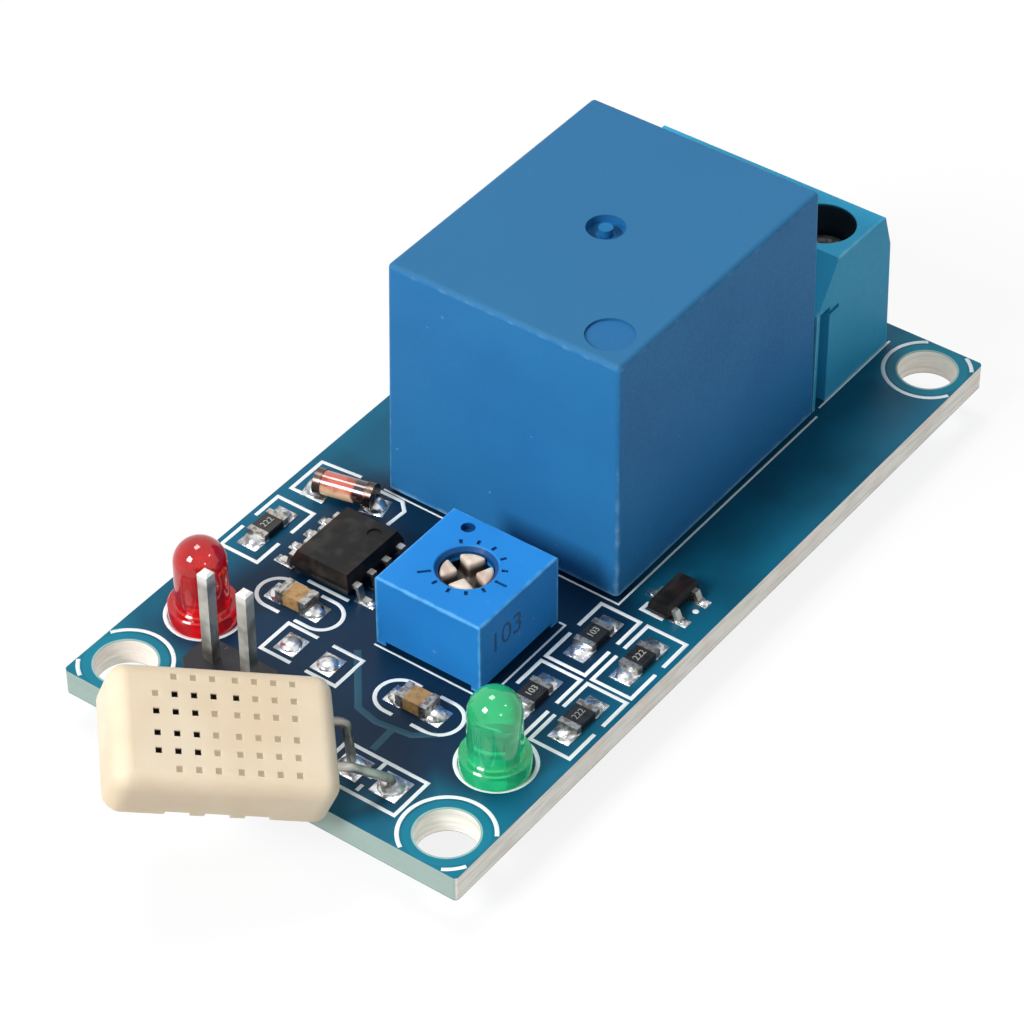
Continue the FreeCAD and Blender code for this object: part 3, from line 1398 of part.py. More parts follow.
def check_document():
    doc.recompute()
    for item in doc.Objects:
        if "Invalid" in item.State or "Error" in item.State:
            raise RuntimeError("%s did not build: %s" % (item.Name, item.State))
    for piece in pieces:
        shape = piece.Shape
        if shape.isNull() or not shape.isValid() or not shape.Solids:
            raise RuntimeError("%s has no valid shape" % piece.Label)


def write_parts():
    os.makedirs(PARTS_FOLDER, exist_ok=True)
    for piece in pieces:
        piece.Shape.exportStep(os.path.join(PARTS_FOLDER, piece.Label + ".step"))
    print("pieces", len(pieces))


fill_sheet()
circuit_board()
relay()
terminal_block()
trimmer()
lamp("red", "red_lamp_y")
lamp("green", "green_lamp_y")
header()
sensor()
comparator()
transistor()
for label, (x, y, turn) in RESISTORS.items():
    chip(label, "resistor_thickness", x, y, turn)
for label, (x, y, turn) in CAPACITORS.items():
    chip(label, "capacitor_thickness", x, y, turn)
diode()
deck_solder()
doc.recompute()
joint_solder(through_pieces())
check_document()
write_parts()
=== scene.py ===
# %% [markdown]
# # A humidity switch relay module
# A small circuit board, 50 mm long, with a blue relay, a screw terminal block, a trimmer, two
# lamps, a pin header and a cream humidity sensor that leans out over one end on bent leads.
# The solid model is loaded first and stays where it is. The cells after it add the light, the
# finishes and the pieces that a solid model leaves plain: print, solder, lamp lenses and chips.

# %% Load the solid model
import json
import math
import bpy
from mathutils import Matrix, Quaternion, Vector


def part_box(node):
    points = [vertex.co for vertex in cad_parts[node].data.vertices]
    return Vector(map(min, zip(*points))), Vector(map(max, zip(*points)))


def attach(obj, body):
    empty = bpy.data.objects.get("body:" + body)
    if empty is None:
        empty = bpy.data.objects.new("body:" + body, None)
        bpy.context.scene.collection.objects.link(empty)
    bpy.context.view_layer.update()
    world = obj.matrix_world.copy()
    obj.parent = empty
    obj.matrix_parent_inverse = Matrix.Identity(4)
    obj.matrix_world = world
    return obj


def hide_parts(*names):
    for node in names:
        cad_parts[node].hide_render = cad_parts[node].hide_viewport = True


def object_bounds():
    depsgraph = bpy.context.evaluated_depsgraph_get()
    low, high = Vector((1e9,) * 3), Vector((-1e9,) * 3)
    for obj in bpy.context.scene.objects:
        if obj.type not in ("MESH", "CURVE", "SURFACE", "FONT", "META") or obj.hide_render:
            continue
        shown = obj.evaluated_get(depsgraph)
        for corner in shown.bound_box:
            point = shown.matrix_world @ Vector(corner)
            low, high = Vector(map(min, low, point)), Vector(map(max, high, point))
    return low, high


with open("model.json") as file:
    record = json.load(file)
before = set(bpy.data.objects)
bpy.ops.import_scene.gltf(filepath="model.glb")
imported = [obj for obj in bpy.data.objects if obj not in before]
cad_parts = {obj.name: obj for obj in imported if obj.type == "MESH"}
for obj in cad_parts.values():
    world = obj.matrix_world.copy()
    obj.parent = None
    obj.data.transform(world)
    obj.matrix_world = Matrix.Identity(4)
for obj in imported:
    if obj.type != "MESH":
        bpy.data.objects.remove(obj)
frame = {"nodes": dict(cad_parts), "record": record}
nodes = frame["nodes"]
solid_low, solid_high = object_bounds()
MM = 0.001
print("solid pieces", len(nodes), "size in mm", [round(side / MM, 1) for side in solid_high - solid_low])

# %% [markdown]
# ## Camera
# The photograph was taken from a little over 20 cm away with a long lens, so the edges of the
# board hardly converge. A camera could be placed by eye, but the corners of the board, its
# mounting holes and the relay fix it well: azimuth, elevation, roll, distance and focal length
# come from those corners.

# %% Camera
CAMERA_AZIMUTH = -53.399
CAMERA_ELEVATION = 41.172
CAMERA_ROLL = -0.363
CAMERA_DISTANCE = 216.374 * MM
CAMERA_TARGET = Vector((-1.141, 1.276, 1.6)) * MM
CAMERA_LENS_MM = 139.12


def camera_back(azimuth, elevation):
    """The direction from the target to the camera; azimuth 0 looks along +Y."""
    a, e = math.radians(azimuth), math.radians(elevation)
    return Vector((math.sin(a) * math.cos(e), -math.cos(a) * math.cos(e), math.sin(e)))


back = camera_back(CAMERA_AZIMUTH, CAMERA_ELEVATION)
camera_data = bpy.data.cameras.new("camera")
camera_data.lens = CAMERA_LENS_MM
camera_data.clip_start = 0.01
camera_data.clip_end = 10
camera = bpy.data.objects.new("camera", camera_data)
camera.rotation_mode = "QUATERNION"
camera.location = CAMERA_TARGET + back * CAMERA_DISTANCE
roll = Quaternion((0, 0, 1), math.radians(CAMERA_ROLL))
camera.rotation_quaternion = (-back).to_track_quat("-Z", "Y") @ roll
bpy.context.scene.collection.objects.link(camera)
bpy.context.scene.camera = camera
print("camera height in mm", round(camera.location.z / MM, 1))

# %% [markdown]
# ## Shader maths
# A finish is a small graph of nodes. Adding every node by hand hides the idea behind it, so one
# class wraps a socket and lets sums be written as sums, and one method adds any other node.
# Every pattern reads Object coordinates, which are metres here, so a scale of 4000 gives grains
# of a quarter of a millimetre.


# %% A socket that can be used in a sum
class Wire:
    """An output socket of a finish, which can stand in a sum."""

    def __init__(self, finish, socket):
        self.finish = finish
        self.socket = socket

    def maths(self, operation, *values):
        return self.finish.node("ShaderNodeMath", {"operation": operation}, values)

    def __add__(self, other):
        return self.maths("ADD", self, other)

    def __sub__(self, other):
        return self.maths("SUBTRACT", self, other)

    def __rsub__(self, other):
        return self.maths("SUBTRACT", other, self)

    def __mul__(self, other):
        return self.maths("MULTIPLY", self, other)

    def __abs__(self):
        return self.maths("ABSOLUTE", self)

    __radd__ = __add__
    __rmul__ = __mul__


# %% A finish and its nodes
def linear(hex_colour):
    """A colour written as on a screen, in the linear values that shaders use."""
    values = [int(hex_colour[i:i + 2], 16) / 255 for i in (1, 3, 5)]
    return [v / 12.92 if v <= 0.04045 else ((v + 0.055) / 1.055) ** 2.4 for v in values] + [1.0]


class Finish:
    """One material and the nodes that make it."""

    def __init__(self, name):
        self.material = bpy.data.materials.new(name)
        self.material.use_nodes = True
        self.tree = self.material.node_tree
        self.tree.nodes.clear()

    def node(self, kind, settings=None, sockets=None, output=0):
        """Add a node with its settings first, then the values or wires of its sockets."""
        made = self.tree.nodes.new(kind)
        for name, value in (settings or {}).items():
            setattr(made, name, value)
        sockets = sockets or {}
        pairs = sockets.items() if isinstance(sockets, dict) else enumerate(sockets)
        for key, value in pairs:
            if isinstance(value, Wire):
                self.tree.links.new(value.socket, made.inputs[key])
            else:
                made.inputs[key].default_value = value
        return Wire(self, made.outputs[output]) if len(made.outputs) else None

    def place(self, axis=None):
        """Object coordinates, or one of the three as a number."""
        point = self.node("ShaderNodeTexCoord", output="Object")
        if axis is None:
            return point
        return self.node("ShaderNodeSeparateXYZ", sockets=[point], output="XYZ".index(axis))

    def radius_from(self, x, y):
        """Distance from an upright line through a point of the plan."""
        return self.length_of([self.place("X") - x, self.place("Y") - y, 0.0])

    def length_of(self, parts):
        """Length of a vector that is given by its three parts."""
        vector = self.node("ShaderNodeCombineXYZ", sockets=parts)
        return self.node("ShaderNodeVectorMath", {"operation": "LENGTH"}, [vector], output="Value")

    def along_axis(self, axis, start):
        """Distance along an axis from a starting point."""
        product = self.node("ShaderNodeVectorMath", {"operation": "DOT_PRODUCT"}, [self.place(), axis],
                            output="Value")
        return product - axis.dot(start)

    def between(self, value, low, high, soft=0.02 * MM):
        """One inside a range, nought outside it, with a short ramp at both ends."""
        return self.step(value, low - soft, low + soft) * self.step(value, high + soft, high - soft)

    def noise(self, scale, detail=3.0, roughness=0.5):
        return self.node("ShaderNodeTexNoise", sockets={
            "Vector": self.place(), "Scale": scale, "Detail": detail, "Roughness": roughness})

    def step(self, value, low, high, to_low=0.0, to_high=1.0):
        """A value eased from one range to another and held outside it."""
        return self.node("ShaderNodeMapRange", {"interpolation_type": "SMOOTHSTEP"},
                         [value, low, high, to_low, to_high])

    def mix(self, first, second, factor):
        """A colour between two colours."""
        return self.node("ShaderNodeMix", {"data_type": "RGBA"}, {0: factor, 6: first, 7: second}, output=2)

    def smaller(self, first, second):
        return self.node("ShaderNodeMath", {"operation": "MINIMUM"}, [first, second])

    def larger(self, first, second):
        return self.node("ShaderNodeMath", {"operation": "MAXIMUM"}, [first, second])

    def bump(self, height, strength, distance):
        return self.node("ShaderNodeBump", sockets={
            "Strength": strength, "Distance": distance, "Height": height})

    def surface(self, **sockets):
        """Close the graph with a Principled shader; underscores in names stand for spaces."""
        named = {key.replace("_", " "): value for key, value in sockets.items()}
        shader = self.node("ShaderNodeBsdfPrincipled", sockets=named)
        self.node("ShaderNodeOutputMaterial", sockets={"Surface": shader})
        return self.material


# %% [markdown]
# ## Moulded plastics
# Plastic parts take the skin of their mould: an even, fine grain that blurs reflections, with slow
# clouds of tone where the melt cooled unevenly. One flat colour would look like paint. Two noises
# at two scales give both, and a third leaves a few specks of dust. Edges are drawn lighter, and for
# that the distance from the nearest edge of the box is worked out and used as a mask.

# %% Moulded plastics
GRAIN_DEPTH = 0.04 * MM
EDGE_LIGHTENING = 0.6
DUST_SCALE = 2600


def moulded(name, colour, darker, roughness, grain=5000, bump=0.25, dust=0.2):
    """Plastic from a spark-eroded mould: fine grain, slow clouds of tone, and a few dust specks."""
    finish = Finish(name)
    fine, slow = finish.noise(grain), finish.noise(120, detail=2.0)
    tone = finish.mix(linear(colour), linear(darker), finish.step(slow, 0.35, 0.7) * 0.6)
    specks = finish.step(finish.noise(DUST_SCALE, detail=1.0), 0.76, 0.8)
    tone = finish.mix(tone, linear("#c8d0d6"), specks * dust)
    return finish.surface(
        Base_Color=tone,
        Roughness=finish.step(fine, 0.3, 0.7, roughness - 0.06, roughness + 0.08),
        Specular_IOR_Level=0.35,
        Normal=finish.bump(fine, bump, GRAIN_DEPTH),
    )


def box_edge(finish, node):
    """Distance of a point from the nearest edge of a node's box, as a wire."""
    low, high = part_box(node)
    distances = []
    for axis, a, b in zip("XYZ", low, high):
        distances.append((b - a) / 2 - abs(finish.place(axis) - (a + b) / 2))
    x, y, z = distances
    return finish.smaller(finish.larger(x, y), finish.smaller(finish.larger(y, z), finish.larger(x, z)))


def blue_with_light_edges(finish, node, colour, darker, edge_colour, edge_width):
    """Blue plastic, a little clouded, with lighter edges."""
    slow, edge_jitter = finish.noise(160), finish.noise(1400, detail=4.0)
    tone = finish.mix(linear(colour), linear(darker), finish.step(slow, 0.35, 0.7) * 0.55)
    edge = box_edge(finish, node) + (edge_jitter - 0.5) * edge_width * 1.6
    tone = finish.mix(tone, linear(edge_colour), finish.step(edge, edge_width, 0.0) * EDGE_LIGHTENING)
    specks = finish.step(finish.noise(1900, detail=1.0), 0.77, 0.8)
    return finish.mix(tone, linear("#a9c3d8"), specks * 0.22)


def plastic_surface(finish, tone, roughness, gloss=0.15):
    """Close a plastic's graph: its tone, with fine mould grain in gloss and surface."""
    fine = finish.noise(5200)
    return finish.surface(
        Base_Color=tone,
        Roughness=finish.step(fine, 0.3, 0.7, roughness - 0.06, roughness + 0.1),
        Specular_IOR_Level=gloss,
        Normal=finish.bump(fine, 0.2, GRAIN_DEPTH),
    )


print("moulded plastics: grain, clouds, dust and worn edges")

# %% [markdown]
# ## Metals and solder
# Pins and screws are plated, and solder freezes with a bright skin that is dull in patches, with a
# little brown flux left on it. A mirror-like metal would show the empty room only. Roughness that
# varies from place to place breaks the reflection up, as the real surface does.

# %% Metals and solder
SCRATCH_DEPTH = 0.03 * MM


def metal(name, colour, darker, roughness, grain=3000):
    """Plated metal with a faint clouding and fine scratches."""
    finish = Finish(name)
    fine, slow = finish.noise(grain, detail=4.0), finish.noise(700, detail=2.0)
    return finish.surface(
        Base_Color=finish.mix(linear(colour), linear(darker), finish.step(slow, 0.35, 0.7)),
        Metallic=1.0,
        Roughness=finish.step(fine, 0.3, 0.75, roughness - 0.08, roughness + 0.12),
        Normal=finish.bump(fine, 0.2, SCRATCH_DEPTH),
    )


def solder_finish():
    """Bright solder with dull patches and a little brown flux left on it."""
    finish = Finish("solder")
    fine, patch = finish.noise(1800, detail=4.0), finish.noise(1100, detail=3.0)
    tone = finish.mix(linear("#e2e3e4"), linear("#868a8e"), finish.step(fine, 0.38, 0.66))
    flux = finish.step(patch, 0.56, 0.68) * 0.75
    return finish.surface(
        Base_Color=finish.mix(tone, linear("#4c4238"), flux),
        Metallic=1 - flux * 0.5,
        Roughness=finish.step(fine, 0.3, 0.75, 0.2, 0.42),
        Normal=finish.bump(fine + patch, 0.8, 0.05 * MM),
    )


print("metals: clouded plating, and solder with flux")

# %% [markdown]
# ## Circuit board
# The board is glass cloth in epoxy, with copper and a blue mask over it. The mask is navy in the
# middle of the board and teal towards its edges and corners. That could be a painted
# image, but distances from the edges, the corners and the holes describe it in a few sums. Where
# the board is cut, on its sides and in its holes, the pale layers of glass show, with a faint painted glow.

# %% Circuit board
HOLE_X, HOLE_Y = 22.7, 10.55
HOLE_RADIUS = 1.7


def board_finish():
    """Blue mask, teal towards the edge and round the holes; bare glass fibre with a faint painted glow where
    it is cut.
    """
    finish = Finish("board")
    low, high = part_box("circuit_board")
    x, y, z = (finish.place(axis) for axis in "XYZ")
    from_side, from_end = (high.y - low.y) / 2 - abs(y), (high.x - low.x) / 2 - abs(x)
    cloud = finish.noise(140)
    from_edge = finish.smaller(from_side, from_end) + (cloud - 0.5) * (2 * MM)
    from_corner = finish.larger(from_side, from_end) + (cloud - 0.5) * (1 * MM)
    teal_width = finish.step(x, -6 * MM, 1 * MM, 2.4 * MM, 6.5 * MM)  # narrow by the chips
    rim = finish.step(from_edge, teal_width + 1.6 * MM, teal_width - 1.6 * MM)
    tone = finish.mix(linear("#062a44"), linear("#0c5772"), rim)
    tone = finish.mix(tone, linear("#0d6480"), finish.step(from_edge, 1.6 * MM, 0.2 * MM) * 0.7)
    tone = finish.mix(tone, linear("#12748c"), finish.step(from_corner, 6 * MM, 3 * MM) * 0.85)
    tone = finish.mix(tone, linear("#081c30"), finish.step(finish.noise(260), 0.45, 0.75) * 0.3)
    to_hole = [abs(x) - HOLE_X * MM, abs(y) - HOLE_Y * MM, 0.0]
    from_hole = finish.length_of(to_hole) - HOLE_RADIUS * MM
    tone = finish.mix(tone, linear("#15839a"), finish.step(from_hole, 0.6 * MM, 0.55 * MM) * 0.5)
    # the pale rim at each hole's edge is bare laminate, painted paler as a painted edge highlight
    tone = finish.mix(tone, linear("#a9c4bd"), finish.step(from_hole, 0.13 * MM, 0.08 * MM) * 0.8)
    layers = finish.node("ShaderNodeTexNoise", sockets={
        "Vector": finish.node("ShaderNodeCombineXYZ", sockets=[x * 400, y * 400, z * 4000]),
        "Scale": 1.0, "Detail": 3.0})
    glass = finish.mix(linear("#ebe7df"), linear("#cfd0c6"), finish.step(layers, 0.35, 0.75))
    glass = finish.mix(glass, linear("#dfcdc0"), finish.step(finish.noise(400), 0.45, 0.65) * 0.4)
    glass = finish.mix(glass, linear("#879f98"), finish.step(x - low.x, 0.1 * MM, 0.02 * MM) * 0.9)
    cut = finish.step(finish.smaller(z, high.z - z), 0.02 * MM, 0.05 * MM)
    return finish.surface(
        Base_Color=finish.mix(tone, glass, cut),
        # painted light: the cut glass is given a faint glow through its emission
        Emission_Color=finish.mix((0, 0, 0, 1), glass, cut * 0.22),
        Emission_Strength=1.0,
        Roughness=finish.step(cut, 0.0, 1.0, 0.34, 0.75),
        Specular_IOR_Level=0.18,
        Normal=finish.bump(finish.noise(2200, detail=2.0), 0.12, SCRATCH_DEPTH),
    )


print("board finish: mask, rims of the holes and cut glass")

# %% [markdown]
# ## Relay and trimmer
# The relay's cover is one deep blue moulding. Its top is painted greyer than its sides as a painted
# sheen, one corner has a round vent mark painted darker as shade in its recess, and the middle has
# the mark where the melt came in, painted a clearer blue inside a ring of painted shade. The trimmer
# is a brighter blue, and shade gathers in the cut lines of its dial. Both marks are drawn by their
# distance from a point of the plan, so they stay sharp at any size of picture.

# %% Relay and trimmer
VENT_INSET = 2.25 * MM


def relay_finish():
    """The relay's cover: a top painted greyer as a painted sheen, a vent mark painted darker as shade in its
    recess, and a gate mark painted a clearer blue in a ring of painted shade.
    """
    finish = Finish("relay_blue")
    low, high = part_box("relay_cover")
    tone = blue_with_light_edges(finish, "relay_cover", "#2a76ae", "#246ca5", "#7fb3d8", 0.3 * MM)
    gate_x, gate_y = (low.x + high.x) / 2, (low.y + high.y) / 2
    below_top = high.z - finish.place("Z")
    # painted sheen: the top is painted greyer
    tone = finish.mix(tone, linear("#306b93"), finish.step(below_top, 0.25 * MM, 0.05 * MM) * 0.75)
    near_top = finish.step(below_top, 0.8 * MM, 0.6 * MM)
    from_gate = finish.radius_from(gate_x, gate_y)
    # the gate's recess is painted a clearer blue, free of the top's painted sheen
    tone = finish.mix(tone, linear("#1a6ea6"), finish.step(from_gate, 1.15 * MM, 1.05 * MM) * near_top * 0.8)
    # painted shade: a dark ring inside the gate's recess
    ring = finish.between(from_gate, 0.5 * MM, 0.95 * MM, 0.1 * MM) * near_top
    tone = finish.mix(tone, linear("#0f3a60"), ring * 0.8)
    # painted shade: the vent's recessed disc is painted darker
    from_vent = finish.radius_from(low.x + VENT_INSET, low.y + VENT_INSET)
    vent = finish.step(from_vent, 1.4 * MM, 1.3 * MM) * near_top
    tone = finish.mix(tone, linear("#215f94"), vent * 0.45)
    return plastic_surface(finish, tone, 0.5)


def trimmer_finish():
    """The trimmer's case: every groove of its dial holds shade."""
    finish = Finish("trimmer_blue")
    low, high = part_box("trimmer_housing")
    tone = blue_with_light_edges(finish, "trimmer_housing", "#2685d2", "#2079c6", "#6ab6ea", 0.2 * MM)
    sunk = finish.between(high.z - finish.place("Z"), 0.06 * MM, 0.6 * MM)
    aside_x = (high.x - low.x) / 2 - abs(finish.place("X") - (low.x + high.x) / 2)
    aside_y = (high.y - low.y) / 2 - abs(finish.place("Y") - (low.y + high.y) / 2)
    on_top = finish.step(finish.smaller(aside_x, aside_y), 0.3 * MM, 0.5 * MM)
    tone = finish.mix(tone, linear("#0f3566"), sunk * on_top * 0.85)
    return plastic_surface(finish, tone, 0.45)


def rotor_finish():
    """Cream nylon with painted shade at the bottom of its slots."""
    finish = Finish("rotor_cream")
    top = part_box("trimmer_rotor")[1].z
    depth = finish.step(top - finish.place("Z"), 0.1 * MM, 0.55 * MM)
    tone = finish.mix(linear("#e2d3c0"), linear("#b08f80"), finish.step(finish.noise(900), 0.4, 0.65) * 0.7)
    # painted shade: darker with depth down the slots
    tone = finish.mix(tone, linear("#2a1c17"), depth * 0.93)
    return plastic_surface(finish, tone, 0.35, gloss=0.4)


print("relay, trimmer and rotor finishes")

# %% [markdown]
# ## Chips with metal ends
# A chip resistor is a slip of ceramic with black glaze, a chip capacitor a bare tan block, and both
# have tinned ends. Each is one solid, so the finish decides by the place along the chip what is
# core and what is metal. The glass diode is salmon with a cream painted highlight along its lower
# side, and dark at its cathode. Three separate pieces would also do, but this keeps the joint between them
# exact.

# %% Chips with metal ends
DIODE_TURN = 103


def along(finish, node, turn):
    """The place along a turned piece's own length, in metres from its middle."""
    low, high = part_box(node)
    middle = (low + high) / 2
    a = math.radians(turn)
    return (finish.place("X") - middle.x) * math.cos(a) + (finish.place("Y") - middle.y) * math.sin(a)


def chip_finish(name, node, turn, colour, darker, core_half):
    """A ceramic chip: a painted or bare core between two tinned ends."""
    finish = Finish(name)
    end = finish.step(abs(along(finish, node, turn)), core_half, core_half + 0.04 * MM)
    grain = finish.noise(3500)
    core = finish.mix(linear(colour), linear(darker), finish.step(grain, 0.4, 0.7))
    tin = finish.mix(linear("#b3b0aa"), linear("#6d6861"), finish.step(grain, 0.4, 0.65))
    return finish.surface(
        Base_Color=finish.mix(core, tin, end),
        Metallic=end,
        Roughness=finish.step(grain + end * 0.1, 0.3, 0.8, 0.25, 0.5),
        Normal=finish.bump(grain, 0.25, SCRATCH_DEPTH),
    )


def diode_finish():
    """Salmon glass with a cream painted highlight along its lower side, and a dark cathode end."""
    finish = Finish("diode_glass")
    low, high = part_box("diode_glass")
    u = along(finish, "diode_glass", DIODE_TURN)  # towards the plain end
    height = finish.place("Z") - (low.z + high.z) / 2
    patch = finish.noise(1300, detail=4.0)
    tone = finish.mix(linear("#c9604e"), linear("#8e2f26"), finish.step(patch, 0.42, 0.62) * 0.8)
    ragged = (patch - 0.5) * (0.5 * MM)
    # painted highlight: the lower side of the glass is painted cream
    tone = finish.mix(tone, linear("#f0cfa4"), finish.step(height + ragged, 0.45 * MM, 0.0) * 0.8)
    band = finish.step(ragged - u, 0.55 * MM, 0.75 * MM)
    tone = finish.mix(tone, linear("#25110f"), band)
    return finish.surface(
        Base_Color=tone,
        Roughness=finish.step(patch, 0.3, 0.7, 0.08, 0.2),
        Coat_Weight=0.8,
        Coat_Roughness=0.04,
    )


def epoxy_finish():
    """Black moulding compound, smudged brown and grey."""
    finish = Finish("dark_plastic")
    smudge, patch = finish.noise(900, detail=5.0), finish.noise(420, detail=2.0)
    tone = finish.mix(linear("#100f0e"), linear("#312f2c"), finish.step(smudge, 0.45, 0.72) * 0.8)
    tone = finish.mix(tone, linear("#432a22"), finish.step(patch, 0.5, 0.7) * 0.3)
    return plastic_surface(finish, tone, 0.4, gloss=0.2)


print("chip, diode and epoxy finishes")

# %% [markdown]
# ## Terminal block
# The block is a lighter blue than the relay, with three round wells for the screws. In the
# photograph the wells are nearly black. They could be left to the lamps, but the wide soft lamps
# here reach too far down, so the finish turns darker with the depth inside the three circles.

# %% Terminal block
WELL_RADIUS = 1.97 * MM


def terminal_finish():
    """Moulded blue whose screw wells lie in their own shade."""
    finish = Finish("terminal_blue")
    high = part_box("terminal_housing")[1]
    well = None
    for index in (1, 2, 3):
        screw_low, screw_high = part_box("terminal_screw_%d" % index)
        middle = (screw_low + screw_high) / 2
        inside = finish.step(finish.radius_from(middle.x, middle.y), WELL_RADIUS, WELL_RADIUS - 0.05 * MM)
        well = inside if well is None else finish.larger(well, inside)
    depth = finish.step(high.z - finish.place("Z"), 0.04 * MM, 0.3 * MM)
    tone = blue_with_light_edges(finish, "terminal_housing", "#37a3cc", "#319ac3", "#7cc3da", 0.2 * MM)
    tone = finish.mix(tone, linear("#15110f"), well * depth * 0.95)
    return plastic_surface(finish, tone, 0.5)


print("terminal block finish: three shaded wells")

# %% [markdown]
# ## Leaning sensor
# The sensor's case is thin cream plastic with eight by six square vents. The inside of every vent is
# painted dark as shade, and most vents are given a grey painted glow for light that comes through
# the back wall; two blocks of vents on one side are left without it. The case leans, so its pattern is
# measured along its own three directions, which are turned the same way as the case. A little
# subsurface light makes the thin wall look soft.

# %% Leaning sensor
SENSOR_CENTRE = Vector((-27.81, -0.94, 7.6)) * MM
SENSOR_TURN = (Matrix.Rotation(math.radians(-42.5), 3, "Z") @ Matrix.Rotation(math.radians(15.6), 3, "Y")
               @ Matrix.Rotation(math.radians(18.1), 3, "X"))
VENT_PITCH = 0.99 * MM
VENT_COLUMNS, VENT_ROWS = 8, 6
COLUMN_GAP, ROW_GAP = 0.17 * MM, 0.22 * MM


def vent_places(count, gap):
    """The places of the vents in a row or column, which has a wider gap at the middle."""
    return [(i - (count - 1) / 2) * VENT_PITCH + (gap if i >= count / 2 else -gap) / 2 for i in range(count)]


def sensor_finish():
    """Cream plastic whose vents are painted dark as shade, most of them with a grey painted glow."""
    finish = Finish("sensor_cream")
    u, v, out = (finish.along_axis(SENSOR_TURN.col[i], SENSOR_CENTRE) for i in range(3))
    fine, slow = finish.noise(3800), finish.noise(220, detail=2.0)
    tone = finish.mix(linear("#ead9bf"), linear("#e3ceb1"), finish.step(slow, 0.35, 0.7))
    half = VENT_PITCH / 2
    in_grid = finish.step(abs(u), 4.1 * MM, 4 * MM) * finish.step(abs(v), 2.85 * MM, 2.8 * MM)
    vent = finish.step(out, -0.08 * MM, -0.14 * MM) * in_grid
    u_of, v_of = vent_places(VENT_COLUMNS, COLUMN_GAP), vent_places(VENT_ROWS, ROW_GAP)
    # two blocks of vents that are left without the painted glow
    dark = finish.larger(
        finish.between(u, u_of[1] - half, u_of[4] + half) * finish.between(v, v_of[4] - half, v_of[4] + half),
        finish.between(u, u_of[0] - half, u_of[2] + half) * finish.between(v, v_of[1] - half, v_of[3] + half))
    # painted shade: the inside of every vent is painted dark
    tone = finish.mix(tone, linear("#1a120c"), vent)
    # painted light: a grey glow in the vents outside the two unlit blocks
    painted_vent_glow = finish.mix((0, 0, 0, 1), linear("#b3a386"), vent * (1 - dark))
    return finish.surface(
        Base_Color=tone,
        Roughness=finish.step(fine, 0.3, 0.7, 0.42, 0.55),
        Specular_IOR_Level=0.35,
        Subsurface_Weight=0.3,
        Subsurface_Radius=(1 * MM, 0.7 * MM, 0.5 * MM),
        Subsurface_Scale=1.0,
        Emission_Color=painted_vent_glow,
        Emission_Strength=1.0,
        Normal=finish.bump(fine, 0.12, SCRATCH_DEPTH),
    )


print("sensor finish: vents", VENT_COLUMNS * VENT_ROWS)

# %% [markdown]
# ## Lamps and pins
# The lenses are tinted clear resin, a little cloudy, so the lead frame shows only as a shape, and
# they are given a faint painted glow. Fully clear glass would show the board behind them too sharply.
# The pins are tinned and dull along their drawn sides, with a painted highlight at their tips.

# %% Lamps and pins
def lens_finish(name, colour, deep):
    """Tinted clear resin, cloudy enough to hide most of the lead frame, with a faint painted glow."""
    finish = Finish(name)
    cloud = finish.noise(500, detail=2.0)
    return finish.surface(
        Base_Color=finish.mix(linear(colour), linear(deep), finish.step(cloud, 0.4, 0.7) * 0.5),
        Roughness=finish.step(cloud, 0.3, 0.8, 0.06, 0.14),
        Transmission_Weight=0.65,
        IOR=1.5,
        Coat_Weight=0.2,
        Coat_Roughness=0.02,
        # painted light: a faint glow in the lens's deeper tint
        Emission_Color=linear(deep),
        Emission_Strength=0.12,
    )


def tin_finish():
    """Tinned pins: dull along their sides, with a painted highlight at the tips of the header."""
    finish = Finish("tinned")
    fine, slow = finish.noise(3000, detail=4.0), finish.noise(700, detail=2.0)
    # painted highlight: the header pins' tips are painted paler and less metallic
    tip = finish.step(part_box("header_pin_1")[1].z - finish.place("Z"), 0.9 * MM, 0.3 * MM)
    tone = finish.mix(linear("#c4c1b9"), linear("#8a867d"), finish.step(slow, 0.35, 0.7))
    return finish.surface(
        Base_Color=finish.mix(tone, linear("#e4e2dc"), tip),
        Metallic=finish.step(tip, 0.0, 1.0, 1.0, 0.6),
        Roughness=finish.step(fine, 0.3, 0.75, 0.3, 0.5),
        Normal=finish.bump(fine, 0.25, SCRATCH_DEPTH),
    )


print("lens and pin finishes")

# %% [markdown]
# ## Handing out the finishes
# The solid model names a material slot for each piece. One table from slot to finish dresses them
# all, and a few pieces that need a look of their own are picked out by name.

# %% Give every solid piece its finish
solder = solder_finish()
red_resin = lens_finish("red_lens", "#e81418", "#b80c12")
green_resin = lens_finish("green_lens", "#3adc98", "#28b676")
SLOT_FINISHES = {
    "board": board_finish(),
    "relay_blue": relay_finish(),
    "dark_plastic": epoxy_finish(),
    "bobbin": moulded("bobbin", "#ded8c8", "#cfc8b8", 0.5),
    "copper": metal("copper", "#b8673a", "#94502c", 0.35, grain=9000),
    "steel": metal("steel", "#a9a9ab", "#8a8a8c", 0.36),
    "contact_brass": metal("contact_brass", "#cbb075", "#b59a60", 0.35),
    "tinned": tin_finish(),
    "solder": solder,
    "terminal_blue": terminal_finish(),
    "trimmer_blue": trimmer_finish(),
    "rotor_cream": rotor_finish(),
    "ceramic": moulded("ceramic", "#e8e6df", "#dad8d0", 0.6),
    "red_lens": red_resin,
    "green_lens": green_resin,
    "sensor_cream": sensor_finish(),
    "diode_glass": diode_finish(),
}
